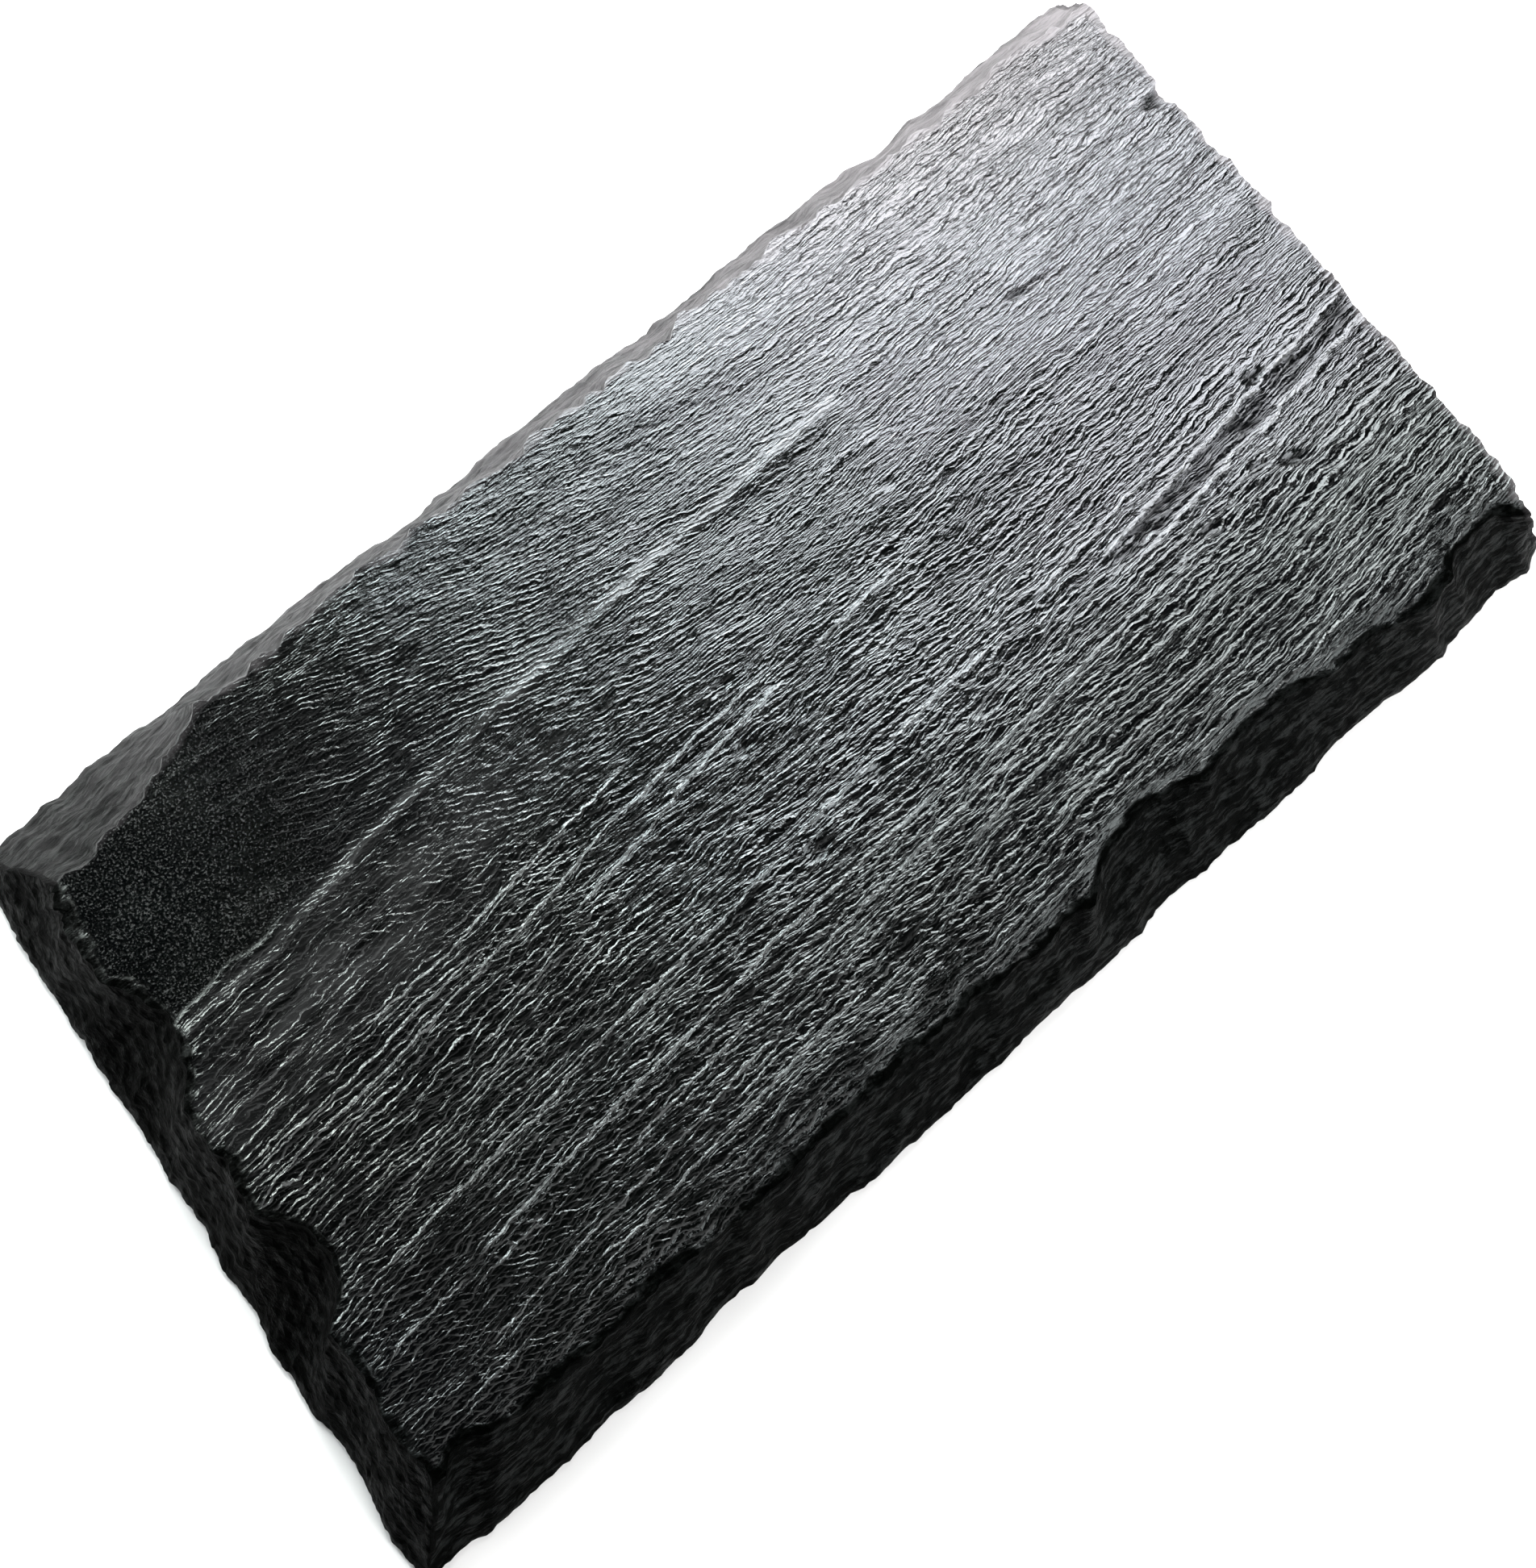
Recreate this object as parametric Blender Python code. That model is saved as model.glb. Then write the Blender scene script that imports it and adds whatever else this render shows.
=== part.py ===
"""A slab of riven slate: one piece of stone, split along its grain and dressed by hand at the edges.

The slab rests on its flat foot. +X runs along the slab, +Z points up, and the origin is the middle of
the box around the foot. Every size is in metres.

Plan positions on the slab use two parameters: u runs from the left side (0) to the right side (1),
and v from the front side (0) to the back side (1). Down the dressed sides, t runs from the top edge
(0) to the foot (1).
"""

import bmesh
import bpy
import numpy as np
from mathutils import Matrix, Vector, noise

NAME = "slate_slab"

# Overall form. Every side of the foot stands out past the top face, so the sides slope outwards.
THICKNESS = 0.0180
TOP_LENGTH = 0.2855
TOP_WIDTH = 0.1460
TOP_CORNERS = {
    "front_left": (-0.1483, -0.0725),
    "front_right": (0.1365, -0.0747),
    "back_left": (-0.1308, 0.0722),
    "back_right": (0.1545, 0.0714),
}
FOOT_CORNERS = {
    "front_left": (-0.1610, -0.0828),
    "front_right": (0.1406, -0.0810),
    "back_left": (-0.1383, 0.0832),
    "back_right": (0.1607, 0.0826),
}
CORNER_WEAR = 0.0012
CORNER_WEAR_RADIUS = 0.0060

# Fineness of the faceted surface.
CELLS_ALONG = 54
CELLS_ACROSS = 60
SIDE_LEVELS = (0.20, 0.46, 0.74, 1.0)

# Chips struck from the top edge of each side: place along the side, half length, bite, and how
# quickly the bite dies away down the side. The front and back sides are measured from the left, and
# the left and right sides from the front.
CHIPS = {
    "front": [
        (0.0080, 0.0060, 0.0024, 1.5),
        (0.1180, 0.0330, 0.0016, 1.5),
        (0.1830, 0.0200, 0.0076, 1.2),
        (0.2120, 0.0250, 0.0062, 1.2),
        (0.2360, 0.0180, 0.0032, 1.5),
        (0.2735, 0.0110, 0.0054, 1.2),
    ],
    "back": [
        (0.0080, 0.0370, 0.0098, 1.0),
        (0.0560, 0.0090, 0.0016, 1.5),
    ],
    "left": [
        (0.0467, 0.0130, 0.0080, 1.2),
        (0.0700, 0.0060, 0.0014, 1.5),
        (0.0990, 0.0150, 0.0066, 1.2),
    ],
    "right": [
        (0.1180, 0.0030, 0.0015, 2.0),
        (0.1030, 0.0040, 0.0008, 2.0),
    ],
}
# Nicks in the foot's outline: place along the side, half length and depth.
FOOT_NICKS = {
    "front": [(0.2880, 0.0090, 0.0026), (0.2700, 0.0110, 0.0022), (0.2300, 0.0160, 0.0014)],
    "back": [],
    "left": [(0.0900, 0.0120, 0.0008)],
    "right": [(0.0600, 0.0140, 0.0010)],
}
CHIP_REACH = 0.0300

# Shallow spalls scattered over the dressed sides.
SPALL_SEED = 11
SPALL_SPACING = 0.0075
SPALL_HALF_LENGTH = (0.0045, 0.0110)
SPALL_HALF_HEIGHT = (0.25, 0.55)
SPALL_DEPTH = (0.0006, 0.0019)

# Split layers of the top face. Each ledge rises towards the front of its route, and the layer then
# dies away towards the front: route in plan, rise, and distance over which the layer dies away.
LEDGE_SLOPE = 0.0024
LEDGES = {
    "back_layer": (
        [(-0.134, 0.022), (-0.106, 0.0245), (-0.080, 0.030), (-0.037, 0.034), (0.000, 0.0375), (0.052, 0.039)],
        0.0013,
        0.030,
    ),
    "middle_layer": (
        [(-0.141, -0.013), (-0.107, -0.0085), (-0.060, -0.003), (-0.020, 0.0025), (0.034, 0.003)],
        0.0010,
        0.022,
    ),
    "front_layer": (
        [(-0.131, -0.037), (-0.102, -0.034), (-0.065, -0.030), (-0.024, -0.0265), (0.036, -0.0225)],
        0.0011,
        0.024,
    ),
    "edge_layer": (
        [(-0.117, -0.0465), (-0.065, -0.041), (-0.038, -0.0385), (0.012, -0.037), (0.080, -0.0355)],
        0.0008,
        0.018,
    ),
    "broken_layer": (
        [(0.069, -0.0285), (0.085, -0.0275), (0.112, -0.024), (0.142, -0.021)],
        0.0010,
        0.014,
    ),
}
LEDGE_FADE = 0.012

# Sunken strip where a layer has broken away: centre line, half width and depth.
TROUGH = [(0.066, -0.0245), (0.085, -0.0225), (0.105, -0.0200), (0.118, -0.0180), (0.140, -0.0165)]
TROUGH_HALF_WIDTH = 0.0034
TROUGH_DEPTH = 0.0011

# Pits: centre, half length, half width and depth.
PITS = [
    (0.1165, -0.0140, 0.0060, 0.0026, 0.0010),
    (0.0842, -0.0200, 0.0050, 0.0026, 0.0008),
    (0.1090, -0.0345, 0.0060, 0.0028, 0.0007),
    (0.0932, 0.0295, 0.0060, 0.0026, 0.0008),
    (0.1475, 0.0435, 0.0060, 0.0026, 0.0008),
    (0.0440, 0.0165, 0.0065, 0.0026, 0.0008),
    (0.0020, -0.0275, 0.0060, 0.0026, 0.0009),
    (-0.0180, -0.0310, 0.0070, 0.0026, 0.0008),
    (-0.0090, 0.0062, 0.0060, 0.0026, 0.0008),
]

# Hollows under the slab where flakes came away: centre, half length, half width and depth.
HOLLOWS = {
    "hollow_left": (-0.0950, -0.0180, 0.0420, 0.0200, 0.0011),
    "hollow_front": (0.0180, -0.0440, 0.0480, 0.0150, 0.0009),
    "hollow_back": (-0.0200, 0.0400, 0.0560, 0.0170, 0.0010),
    "hollow_right": (0.1020, 0.0160, 0.0330, 0.0190, 0.0012),
}
HOLLOW_TURN = -0.17
HOLLOW_ROUNDNESS = 0.25

# Ribs along the grain, which climbs towards the right, and the slow waves of the whole face.
GRAIN_SLOPE = 0.075
RIB_LENGTH = 0.040
RIB_SPACING = 0.0052
RIB_HEIGHT = 0.00075
WAVE_LENGTH = 0.090
WAVE_HEIGHT = 0.0007
# The smooth patch in the back left corner has no ribs.
PATCH_CENTRE = (-0.104, 0.046)
PATCH_HALF_SIZE = (0.040, 0.026)

SLATE_COLOUR = (0.045, 0.050, 0.054, 1.0)
SLATE_ROUGHNESS = 0.55


def clear_scene():
    for item in list(bpy.data.objects):
        bpy.data.objects.remove(item, do_unlink=True)


def smooth_step(value):
    value = min(max(value, 0.0), 1.0)
    return value * value * (3.0 - 2.0 * value)


def blend_corners(corners, u, v):
    """The point at (u, v) of the four-sided outline with these corners."""
    front = Vector(corners["front_left"]).lerp(Vector(corners["front_right"]), u)
    back = Vector(corners["back_left"]).lerp(Vector(corners["back_right"]), u)
    return front.lerp(back, v)


def inward_normals():
    """The unit vector that points into the slab from each side of the top face."""
    ends = {
        "front": ("front_left", "front_right"),
        "back": ("back_right", "back_left"),
        "left": ("back_left", "front_left"),
        "right": ("front_right", "back_right"),
    }
    normals = {}
    for side, (start, end) in ends.items():
        along = Vector(TOP_CORNERS[end]) - Vector(TOP_CORNERS[start])
        normals[side] = Vector((-along.y, along.x)).normalized()
    return normals


def scatter_spalls():
    """Seeded spalls for each side: place along it, level, half length, half height and depth."""
    random = np.random.default_rng(SPALL_SEED)
    lengths = {"front": TOP_LENGTH, "back": TOP_LENGTH, "left": TOP_WIDTH, "right": TOP_WIDTH}
    spalls = {}
    for side, length in lengths.items():
        count = int(length / SPALL_SPACING)
        spalls[side] = [
            (
                random.uniform(0.0, length),
                random.uniform(0.15, 1.0),
                random.uniform(*SPALL_HALF_LENGTH),
                random.uniform(*SPALL_HALF_HEIGHT),
                random.uniform(*SPALL_DEPTH),
            )
            for _ in range(count)
        ]
    return spalls


def bite_depth(side, along, level, spalls):
    """How far the stone is cut back from this side's plain slope, at this place and level."""
    chips = [
        bite * max(0.0, 1.0 - ((along - place) / half) ** 2) * (1.0 - level) ** decay
        for place, half, bite, decay in CHIPS[side]
    ]
    nicks = [
        depth * max(0.0, 1.0 - ((along - place) / half) ** 2) * level
        for place, half, depth in FOOT_NICKS[side]
    ]
    dishes = [
        depth * max(0.0, 1.0 - ((along - place) / half) ** 2 - ((level - centre) / height) ** 2)
        for place, centre, half, height, depth in spalls[side]
    ]
    return max(chips + [0.0]) + max(nicks + dishes + [0.0])


def plan_position(u, v, level, normals, spalls):
    """Where the point (u, v) lies in plan, with its level down the side."""
    point = blend_corners(TOP_CORNERS, u, v).lerp(blend_corners(FOOT_CORNERS, u, v), level)
    sides = {
        "front": (u * TOP_LENGTH, v * TOP_WIDTH),
        "back": (u * TOP_LENGTH, (1.0 - v) * TOP_WIDTH),
        "left": (v * TOP_WIDTH, u * TOP_LENGTH),
        "right": (v * TOP_WIDTH, (1.0 - u) * TOP_LENGTH),
    }
    for side, (along, distance) in sides.items():
        if distance < CHIP_REACH:
            fall_off = (1.0 - distance / CHIP_REACH) ** 2
            point += normals[side] * bite_depth(side, along, level, spalls) * fall_off
    centre = Vector((0.0, 0.0))
    for corner_u in (0.0, 1.0):
        for corner_v in (0.0, 1.0):
            offset = Vector(((u - corner_u) * TOP_LENGTH, (v - corner_v) * TOP_WIDTH))
            wear = CORNER_WEAR * np.exp(-((offset.length / CORNER_WEAR_RADIUS) ** 2))
            point += (centre - point).normalized() * wear
    return point


def ledge_height(x, y, route, rise, die_away):
    """A step up on the front side of the route, whose layer dies away towards the front."""
    xs, ys = zip(*route)
    past = np.interp(x, xs, ys) - y
    if past <= 0.0:
        return 0.0
    ends = smooth_step((x - xs[0]) / LEDGE_FADE) * smooth_step((xs[-1] - x) / LEDGE_FADE)
    return rise * smooth_step(past / LEDGE_SLOPE) * np.exp(-past / die_away) * ends


def trough_depth(x, y):
    """The sunken strip: flat along its bottom, and shallower towards its ends."""
    xs, ys = zip(*TROUGH)
    off_line = abs(np.interp(x, xs, ys) - y)
    ends = smooth_step((x - xs[0]) / LEDGE_FADE) * smooth_step((xs[-1] - x) / LEDGE_FADE)
    return TROUGH_DEPTH * smooth_step(1.5 * (1.0 - off_line / TROUGH_HALF_WIDTH)) * ends


def pit_depth(x, y):
    """The deepest of the pits over this point, each a dent with a rounded bottom."""
    depths = [
        depth * max(0.0, 1.0 - ((x - pit_x) / length) ** 2 - ((y - pit_y) / width) ** 2)
        for pit_x, pit_y, length, width, depth in PITS
    ]
    return max(depths)


def patch_share(x, y):
    """1 inside the smooth patch, 0 outside it."""
    off_x = (x - PATCH_CENTRE[0]) / PATCH_HALF_SIZE[0]
    off_y = (y - PATCH_CENTRE[1]) / PATCH_HALF_SIZE[1]
    return smooth_step(2.0 * (1.0 - off_x * off_x - off_y * off_y))


def top_relief(x, y):
    """Height of the riven top face over its mean plane."""
    across = y - GRAIN_SLOPE * x
    rib = noise.noise(Vector((x / RIB_LENGTH, across / RIB_SPACING, 0.0)))
    wave = noise.noise(Vector((x / WAVE_LENGTH, y / WAVE_LENGTH, 5.0)))
    height = RIB_HEIGHT * rib * (1.0 - patch_share(x, y)) + WAVE_HEIGHT * wave
    for route, rise, die_away in LEDGES.values():
        height += ledge_height(x, y, route, rise, die_away)
    return height - trough_depth(x, y) - pit_depth(x, y)


def build_slab_mesh():
    """A grid laid over the top face, its rim drawn down the sides to the foot, and the foot closed."""
    normals = inward_normals()
    spalls = scatter_spalls()
    form = bmesh.new()
    bmesh.ops.create_grid(form, x_segments=CELLS_ALONG, y_segments=CELLS_ACROSS, size=0.5)
    parameters = {vertex: (vertex.co.x + 0.5, vertex.co.y + 0.5) for vertex in form.verts}
    for vertex, (u, v) in parameters.items():
        point = plan_position(u, v, 0.0, normals, spalls)
        vertex.co = (point.x, point.y, THICKNESS + top_relief(point.x, point.y))
    rim = [edge for edge in form.edges if edge.is_boundary]
    rim_parameters = {vertex: parameters[vertex] for edge in rim for vertex in edge.verts}
    rim_heights = {vertex: vertex.co.z for vertex in rim_parameters}
    for level in SIDE_LEVELS:
        extruded = bmesh.ops.extrude_edge_only(form, edges=rim)["geom"]
        rim = [item for item in extruded if isinstance(item, bmesh.types.BMEdge) and item.is_boundary]
        rim_parameters, rim_heights = lower_rim(rim, rim_parameters, rim_heights)
        for vertex, (u, v) in rim_parameters.items():
            point = plan_position(u, v, level, normals, spalls)
            vertex.co = (point.x, point.y, rim_heights[vertex] * (1.0 - level))
    bmesh.ops.contextual_create(form, geom=rim)
    bmesh.ops.recalc_face_normals(form, faces=form.faces)
    centre_on_origin(form)
    mesh = bpy.data.meshes.new(NAME)
    form.to_mesh(mesh)
    form.free()
    return mesh


def lower_rim(rim, parameters, heights):
    """Hands each old rim vertex's parameters and top height on to the vertex drawn down from it."""
    new_vertices = {vertex for edge in rim for vertex in edge.verts}
    new_parameters = {}
    new_heights = {}
    for vertex in new_vertices:
        for edge in vertex.link_edges:
            above = edge.other_vert(vertex)
            if above in parameters and above not in new_vertices:
                new_parameters[vertex] = parameters[above]
                new_heights[vertex] = heights[above]
    return new_parameters, new_heights


def centre_on_origin(form):
    """Moves the slab sideways so that the middle of its box stands over the origin."""
    xs = [vertex.co.x for vertex in form.verts]
    ys = [vertex.co.y for vertex in form.verts]
    middle = Vector(((min(xs) + max(xs)) / 2.0, (min(ys) + max(ys)) / 2.0, 0.0))
    bmesh.ops.translate(form, verts=form.verts, vec=-middle)


def cut_hollows(slab, cutters):
    """Takes a shallow flat-domed hollow out of the underside for each entry of HOLLOWS."""
    for name, (x, y, half_length, half_width, depth) in HOLLOWS.items():
        form = bmesh.new()
        bmesh.ops.create_uvsphere(form, u_segments=20, v_segments=12, radius=1.0)
        full_depth = depth / HOLLOW_ROUNDNESS
        spread = (1.0 - (1.0 - HOLLOW_ROUNDNESS) ** 2) ** -0.5
        bmesh.ops.scale(form, verts=form.verts, vec=(half_length * spread, half_width * spread, full_depth))
        bmesh.ops.rotate(form, verts=form.verts, matrix=Matrix.Rotation(HOLLOW_TURN, 3, "Z"))
        mesh = bpy.data.meshes.new(name)
        form.to_mesh(mesh)
        form.free()
        cutter = bpy.data.objects.new(name, mesh)
        cutter.location = (x, y, depth - full_depth)
        cutter.hide_render = True
        cutter.display_type = "WIRE"
        cutters.objects.link(cutter)
        cut = slab.modifiers.new(name, "BOOLEAN")
        cut.operation = "DIFFERENCE"
        cut.solver = "EXACT"
        cut.object = cutter


def slate_material():
    material = bpy.data.materials.new("slate")
    material.use_nodes = True
    surface = material.node_tree.nodes["Principled BSDF"]
    surface.inputs["Base Color"].default_value = SLATE_COLOUR
    surface.inputs["Roughness"].default_value = SLATE_ROUGHNESS
    surface.inputs["Metallic"].default_value = 0.0
    material.diffuse_color = SLATE_COLOUR
    return material


def main():
    clear_scene()
    collection = bpy.data.collections.new("Slate slab")
    bpy.context.scene.collection.children.link(collection)
    slab = bpy.data.objects.new(NAME, build_slab_mesh())
    slab.data.materials.append(slate_material())
    collection.objects.link(slab)
    cutters = bpy.data.collections.new("Slate slab cutters")
    bpy.context.scene.collection.children.link(cutters)
    cut_hollows(slab, cutters)


main()
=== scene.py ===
import math

import bpy
import numpy as np
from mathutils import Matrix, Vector


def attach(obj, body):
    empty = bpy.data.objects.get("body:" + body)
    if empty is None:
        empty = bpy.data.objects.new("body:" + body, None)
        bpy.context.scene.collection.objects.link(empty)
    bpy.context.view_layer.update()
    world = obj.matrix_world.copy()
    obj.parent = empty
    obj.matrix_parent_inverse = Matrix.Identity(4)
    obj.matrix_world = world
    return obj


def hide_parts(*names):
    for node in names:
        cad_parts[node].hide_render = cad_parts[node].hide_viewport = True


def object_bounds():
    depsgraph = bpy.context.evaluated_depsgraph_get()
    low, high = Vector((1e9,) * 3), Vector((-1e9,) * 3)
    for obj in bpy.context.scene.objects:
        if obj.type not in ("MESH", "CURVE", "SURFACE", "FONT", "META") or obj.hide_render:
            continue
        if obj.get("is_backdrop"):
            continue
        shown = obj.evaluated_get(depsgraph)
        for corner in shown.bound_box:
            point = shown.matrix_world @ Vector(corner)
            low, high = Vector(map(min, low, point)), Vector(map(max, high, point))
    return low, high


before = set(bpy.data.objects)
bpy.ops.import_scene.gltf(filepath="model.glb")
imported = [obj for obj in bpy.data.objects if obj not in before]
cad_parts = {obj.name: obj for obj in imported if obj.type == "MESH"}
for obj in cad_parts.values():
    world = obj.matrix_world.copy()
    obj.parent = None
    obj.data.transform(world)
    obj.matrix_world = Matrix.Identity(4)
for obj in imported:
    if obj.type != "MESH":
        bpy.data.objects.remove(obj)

bl_info = {
    "name": "Slate slab",
    "version": (1, 0, 0),
    "blender": (4, 5, 0),
    "location": "3D View > Sidebar > Slate",
    "description": "Builds a riven slate slab with hand-chipped sides, and a pale stage for it",
    "category": "Add Mesh",
}

NODE = "slate_slab"
BODY = "root"
# Each button of the panel, and the settings listed under it.
PANEL_ROWS = (
    ("slate.slab", "slate_form"), ("slate.slab", "slate_look"), ("slate.stage", "slate_stage"),
)
PANEL_NAMES = {"key": "key panel", "rim": "back panel", "fill": "fill panel"}
# How far the floor lies under the slab, so that the two faces don't flicker.
FLOOR_GAP = 0.0002

CAD_LOW, CAD_HIGH = (tuple(corner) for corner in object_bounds())


def from_mm(table):
    """A table of lengths in millimetres, however it is nested, as one in metres."""
    if isinstance(table, tuple):
        return tuple(from_mm(entry) for entry in table)
    return round(table / 1000.0, 7)


# Lengths are in metres, and in millimetres inside from_mm(...).
# Plan positions use u from the left side (0) to the right side (1) and v from the front side (0) to
# the back side (1). Down the dressed sides, t runs from the top edge (0) to the foot (1).
TOP_LENGTH = 0.2855
TOP_WIDTH = 0.1460
TOP_CORNERS = {
    "front_left": (-0.1483, -0.0725),
    "front_right": (0.1365, -0.0747),
    "back_left": (-0.1308, 0.0722),
    "back_right": (0.1545, 0.0714),
}
FOOT_CORNERS = {
    "front_left": (-0.1610, -0.0828),
    "front_right": (0.1406, -0.0810),
    "back_left": (-0.1383, 0.0832),
    "back_right": (0.1607, 0.0826),
}
SIDES = ("front", "back", "left", "right")
# How far a corner is drawn in, and round what radius.
CORNER_WEAR = 0.0012
CORNER_WEAR_RADIUS = 0.0060
# How far into the slab the chips and the fine break move the grid.
CHIP_REACH = 0.0300
BREAK_REACH = 0.0020

# Chips struck from the top edges: place along the side, half length, bite, and how quickly the bite
# dies away down the side.
CHIPS = {
    "front": (
        (0.0080, 0.0060, 0.0024, 1.5),
        (0.1180, 0.0330, 0.0016, 1.5),
        (0.1830, 0.0200, 0.0076, 1.2),
        (0.2120, 0.0250, 0.0062, 1.2),
        (0.2360, 0.0180, 0.0032, 1.5),
        (0.2735, 0.0110, 0.0054, 1.2),
    ),
    "back": (
        (0.0080, 0.0370, 0.0098, 1.0),
        (0.0560, 0.0090, 0.0016, 1.5),
    ),
    "left": (
        (0.0467, 0.0130, 0.0080, 1.2),
        (0.0700, 0.0060, 0.0014, 1.5),
        (0.0990, 0.0150, 0.0066, 1.2),
    ),
    "right": (
        (0.1180, 0.0030, 0.0015, 2.0),
        (0.1030, 0.0040, 0.0008, 2.0),
    ),
}
# Nicks in the foot's outline: place along the side, half length and depth.
FOOT_NICKS = {
    "front": ((0.2880, 0.0090, 0.0026), (0.2700, 0.0110, 0.0022), (0.2300, 0.0160, 0.0014)),
    "back": (),
    "left": ((0.0900, 0.0120, 0.0008),),
    "right": ((0.0600, 0.0140, 0.0010),),
}
# Size of the small jags of the top rim.
RIM_JAGS = {"front": 0.0005, "back": 0.0015, "left": 0.0006, "right": 0.0006}
# Shallow spalls scattered over the sides: spacing, half length, half height as a share, and depth.
SPALL_SEED = 11
SPALL_SPACING = 0.0075
SPALL_HALF_LENGTH = (0.0045, 0.0110)
SPALL_HALF_HEIGHT = (0.25, 0.55)
SPALL_DEPTH = (0.0006, 0.0019)

# The broken edges on both sides of the trough.
BACK_WALL_LEFT = from_mm((
    (64, -23.6), (75, -22.4), (83, -21.4), (90.6, -20.8), (93, -20), (102, -19.2), (108, -18.1),
    (117, -17.8),
))
BACK_WALL_RIGHT = from_mm(((114, -17), (127, -15.9), (133, -15.2), (146, -12.8)))
FRONT_WALL = from_mm((
    (69, -28.5), (79, -27.8), (86, -27), (93, -26.1), (96.5, -26.1), (99.5, -25), (107, -25),
    (113.5, -24.8), (115.5, -23.1), (127, -22.8), (128.5, -22.2), (135, -21.4), (146, -20.4),
))
# Edges of split layers on the top face. A rise steps up towards the front of its route, and the
# layer then dies away in front of it. Each entry: step, width of the step, distance over which the
# layer dies away, and the route in plan.
RISES = from_mm((
    (0.9, 2.4, 22, (
        (-134, 22), (-128, 23.5), (-106, 24.5), (-90, 28), (-80, 30), (-60, 31.5), (-42, 34),
    )),
    (1.1, 3.4, 12, ((-45, 34.5), (-32, 34.5), (-20, 36), (0, 37.5), (30, 38.5), (52, 39))),
    (0.35, 0.7, 6, ((-139, 3.5), (-125, 4.5), (-112, 6))),
    (0.35, 0.7, 4, ((-140, -2.5), (-133, -2), (-122, 0))),
    (0.4, 0.7, 6, ((-137, -7), (-105, -5), (-90, -3.5), (-76, -2))),
    (0.55, 0.75, 8, (
        (-141, -13), (-131, -10), (-107, -8.5), (-85, -6), (-60, -3), (-45, 0), (-30, 1),
        (-20, 2.5), (0, 3),
    )),
    (0.5, 0.75, 8, ((-106, 0.5), (-83, 1), (-70, 3), (-55, 5), (-33, 7))),
    (0.3, 0.7, 4, ((-121, -13), (-106, -11.5))),
    (0.3, 0.7, 4, ((-81, -14), (-58, -13))),
    (0.8, 1, 12, ((-60, -8.5), (-46, -6.5), (-38, -5.5), (-30, -3.5), (-10, -1), (2, 0))),
    (0.5, 1, 8, ((8, 1), (25, 2), (34, 3))),
    (0.55, 0.75, 10, (
        (-131, -37), (-115, -35), (-102, -34), (-90, -33.5), (-78, -31.5), (-65, -30), (-48, -29),
        (-35, -28.5), (-26, -27.5),
    )),
    (0.9, 1.1, 10, ((-50, -28.5), (-35, -27.5), (-24, -26.5))),
    (0.7, 1, 8, ((-21, -25.5), (-10, -25), (4, -24.5))),
    (0.6, 0.9, 8, ((6, -23.5), (20, -22.5), (36, -22.5))),
    (0.6, 0.75, 8, (
        (-117, -46.5), (-105, -45), (-92, -43.5), (-77, -42), (-65, -41), (-50, -40), (-38, -38.5),
        (-5, -37.5), (12, -37),
    )),
    (0.4, 0.7, 6, ((16, -39), (30, -38), (50, -37), (80, -35.5))),
    (0.4, 0.7, 5, ((-142, -50.5), (-133, -48.5), (-118, -48))),
    (0.35, 0.7, 5, ((-117, -50), (-100, -48.5))),
    (0.45, 0.7, 6, (
        (-84, -50), (-75, -49), (-50, -46.5), (-30, -45.5), (-12, -44), (15, -42.5), (26, -42),
    )),
    (0.4, 0.7, 6, ((-125, -60), (-110, -58), (-85, -56), (-60, -53), (-45, -52))),
    (0.45, 0.7, 6, ((-101, -61), (-90, -62), (-75, -60), (-50, -58), (-30, -56))),
    (0.35, 0.7, 5, ((-133, -65), (-119, -64))),
    (0.45, 0.7, 6, ((3, -49), (20, -47.5), (35, -46.5), (52, -45), (80, -43.5))),
    (0.35, 0.7, 5, ((18, -56.5), (50, -55), (75, -54))),
    (0.35, 0.7, 5, ((84, -61), (95, -61.5), (112, -60), (130, -58.5))),
    (0.4, 0.7, 5, ((89, -48), (101, -47), (120, -45.5))),
    (0.55, 0.7, 6, ((48, -20.2), (67, -19.2), (71.7, -18.3), (77, -17.4), (88, -17.4), (97, -16))),
)) + (
    (0.00056, 0.00075, 0.002, BACK_WALL_LEFT),
    (0.00050, 0.00075, 0.002, BACK_WALL_RIGHT),
    (0.00052, 0.0009, 0.003, FRONT_WALL),
) + from_mm((
    (0.65, 0.7, 4, ((93, -30.3), (97.5, -30), (105.5, -28.9), (110, -28.7))),
    (0.45, 0.7, 4, ((69, -36.4), (77, -35.5), (86, -34.6))),
    (0.5, 0.7, 5, ((96, -38.5), (106, -38))),
    (0.55, 0.7, 5, ((112, -36.2), (126, -35), (133, -34.8), (143, -33.8))),
    (0.45, 0.7, 5, ((106, -41.6), (126, -40.6), (136, -40))),
    (0.3, 0.7, 6, ((75, 12.5), (95, 12.5), (115, 15), (135, 17.5))),
))
# A drop steps down towards the front of its route, from a layer that dies away behind it.
DROPS = from_mm((
    (0.6, 0.9, 6, ((-58, 29.5), (-45, 31.5), (-35, 31), (-29, 29.5))),
    (0.45, 0.8, 5, ((-30, 8), (-20, 9), (-10, 9))),
    (0.6, 1, 4, ((-26, -6.5), (-14, -6))),
    (0.5, 0.9, 5, ((34, 24.5), (43, 25), (52, 24))),
    (0.45, 0.8, 5, ((84, 42.5), (94, 43))),
    (0.5, 0.9, 5, ((88, 29), (106, 29.5))),
    (0.45, 0.8, 5, ((120, 42), (138, 43.5))),
    (0.45, 0.8, 5, ((134, 26), (150, 28))),
    (0.55, 1, 4, ((94, -33), (108, -34.5))),
    (0.45, 1, 6, ((50, 9), (70, 10))),
))
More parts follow.
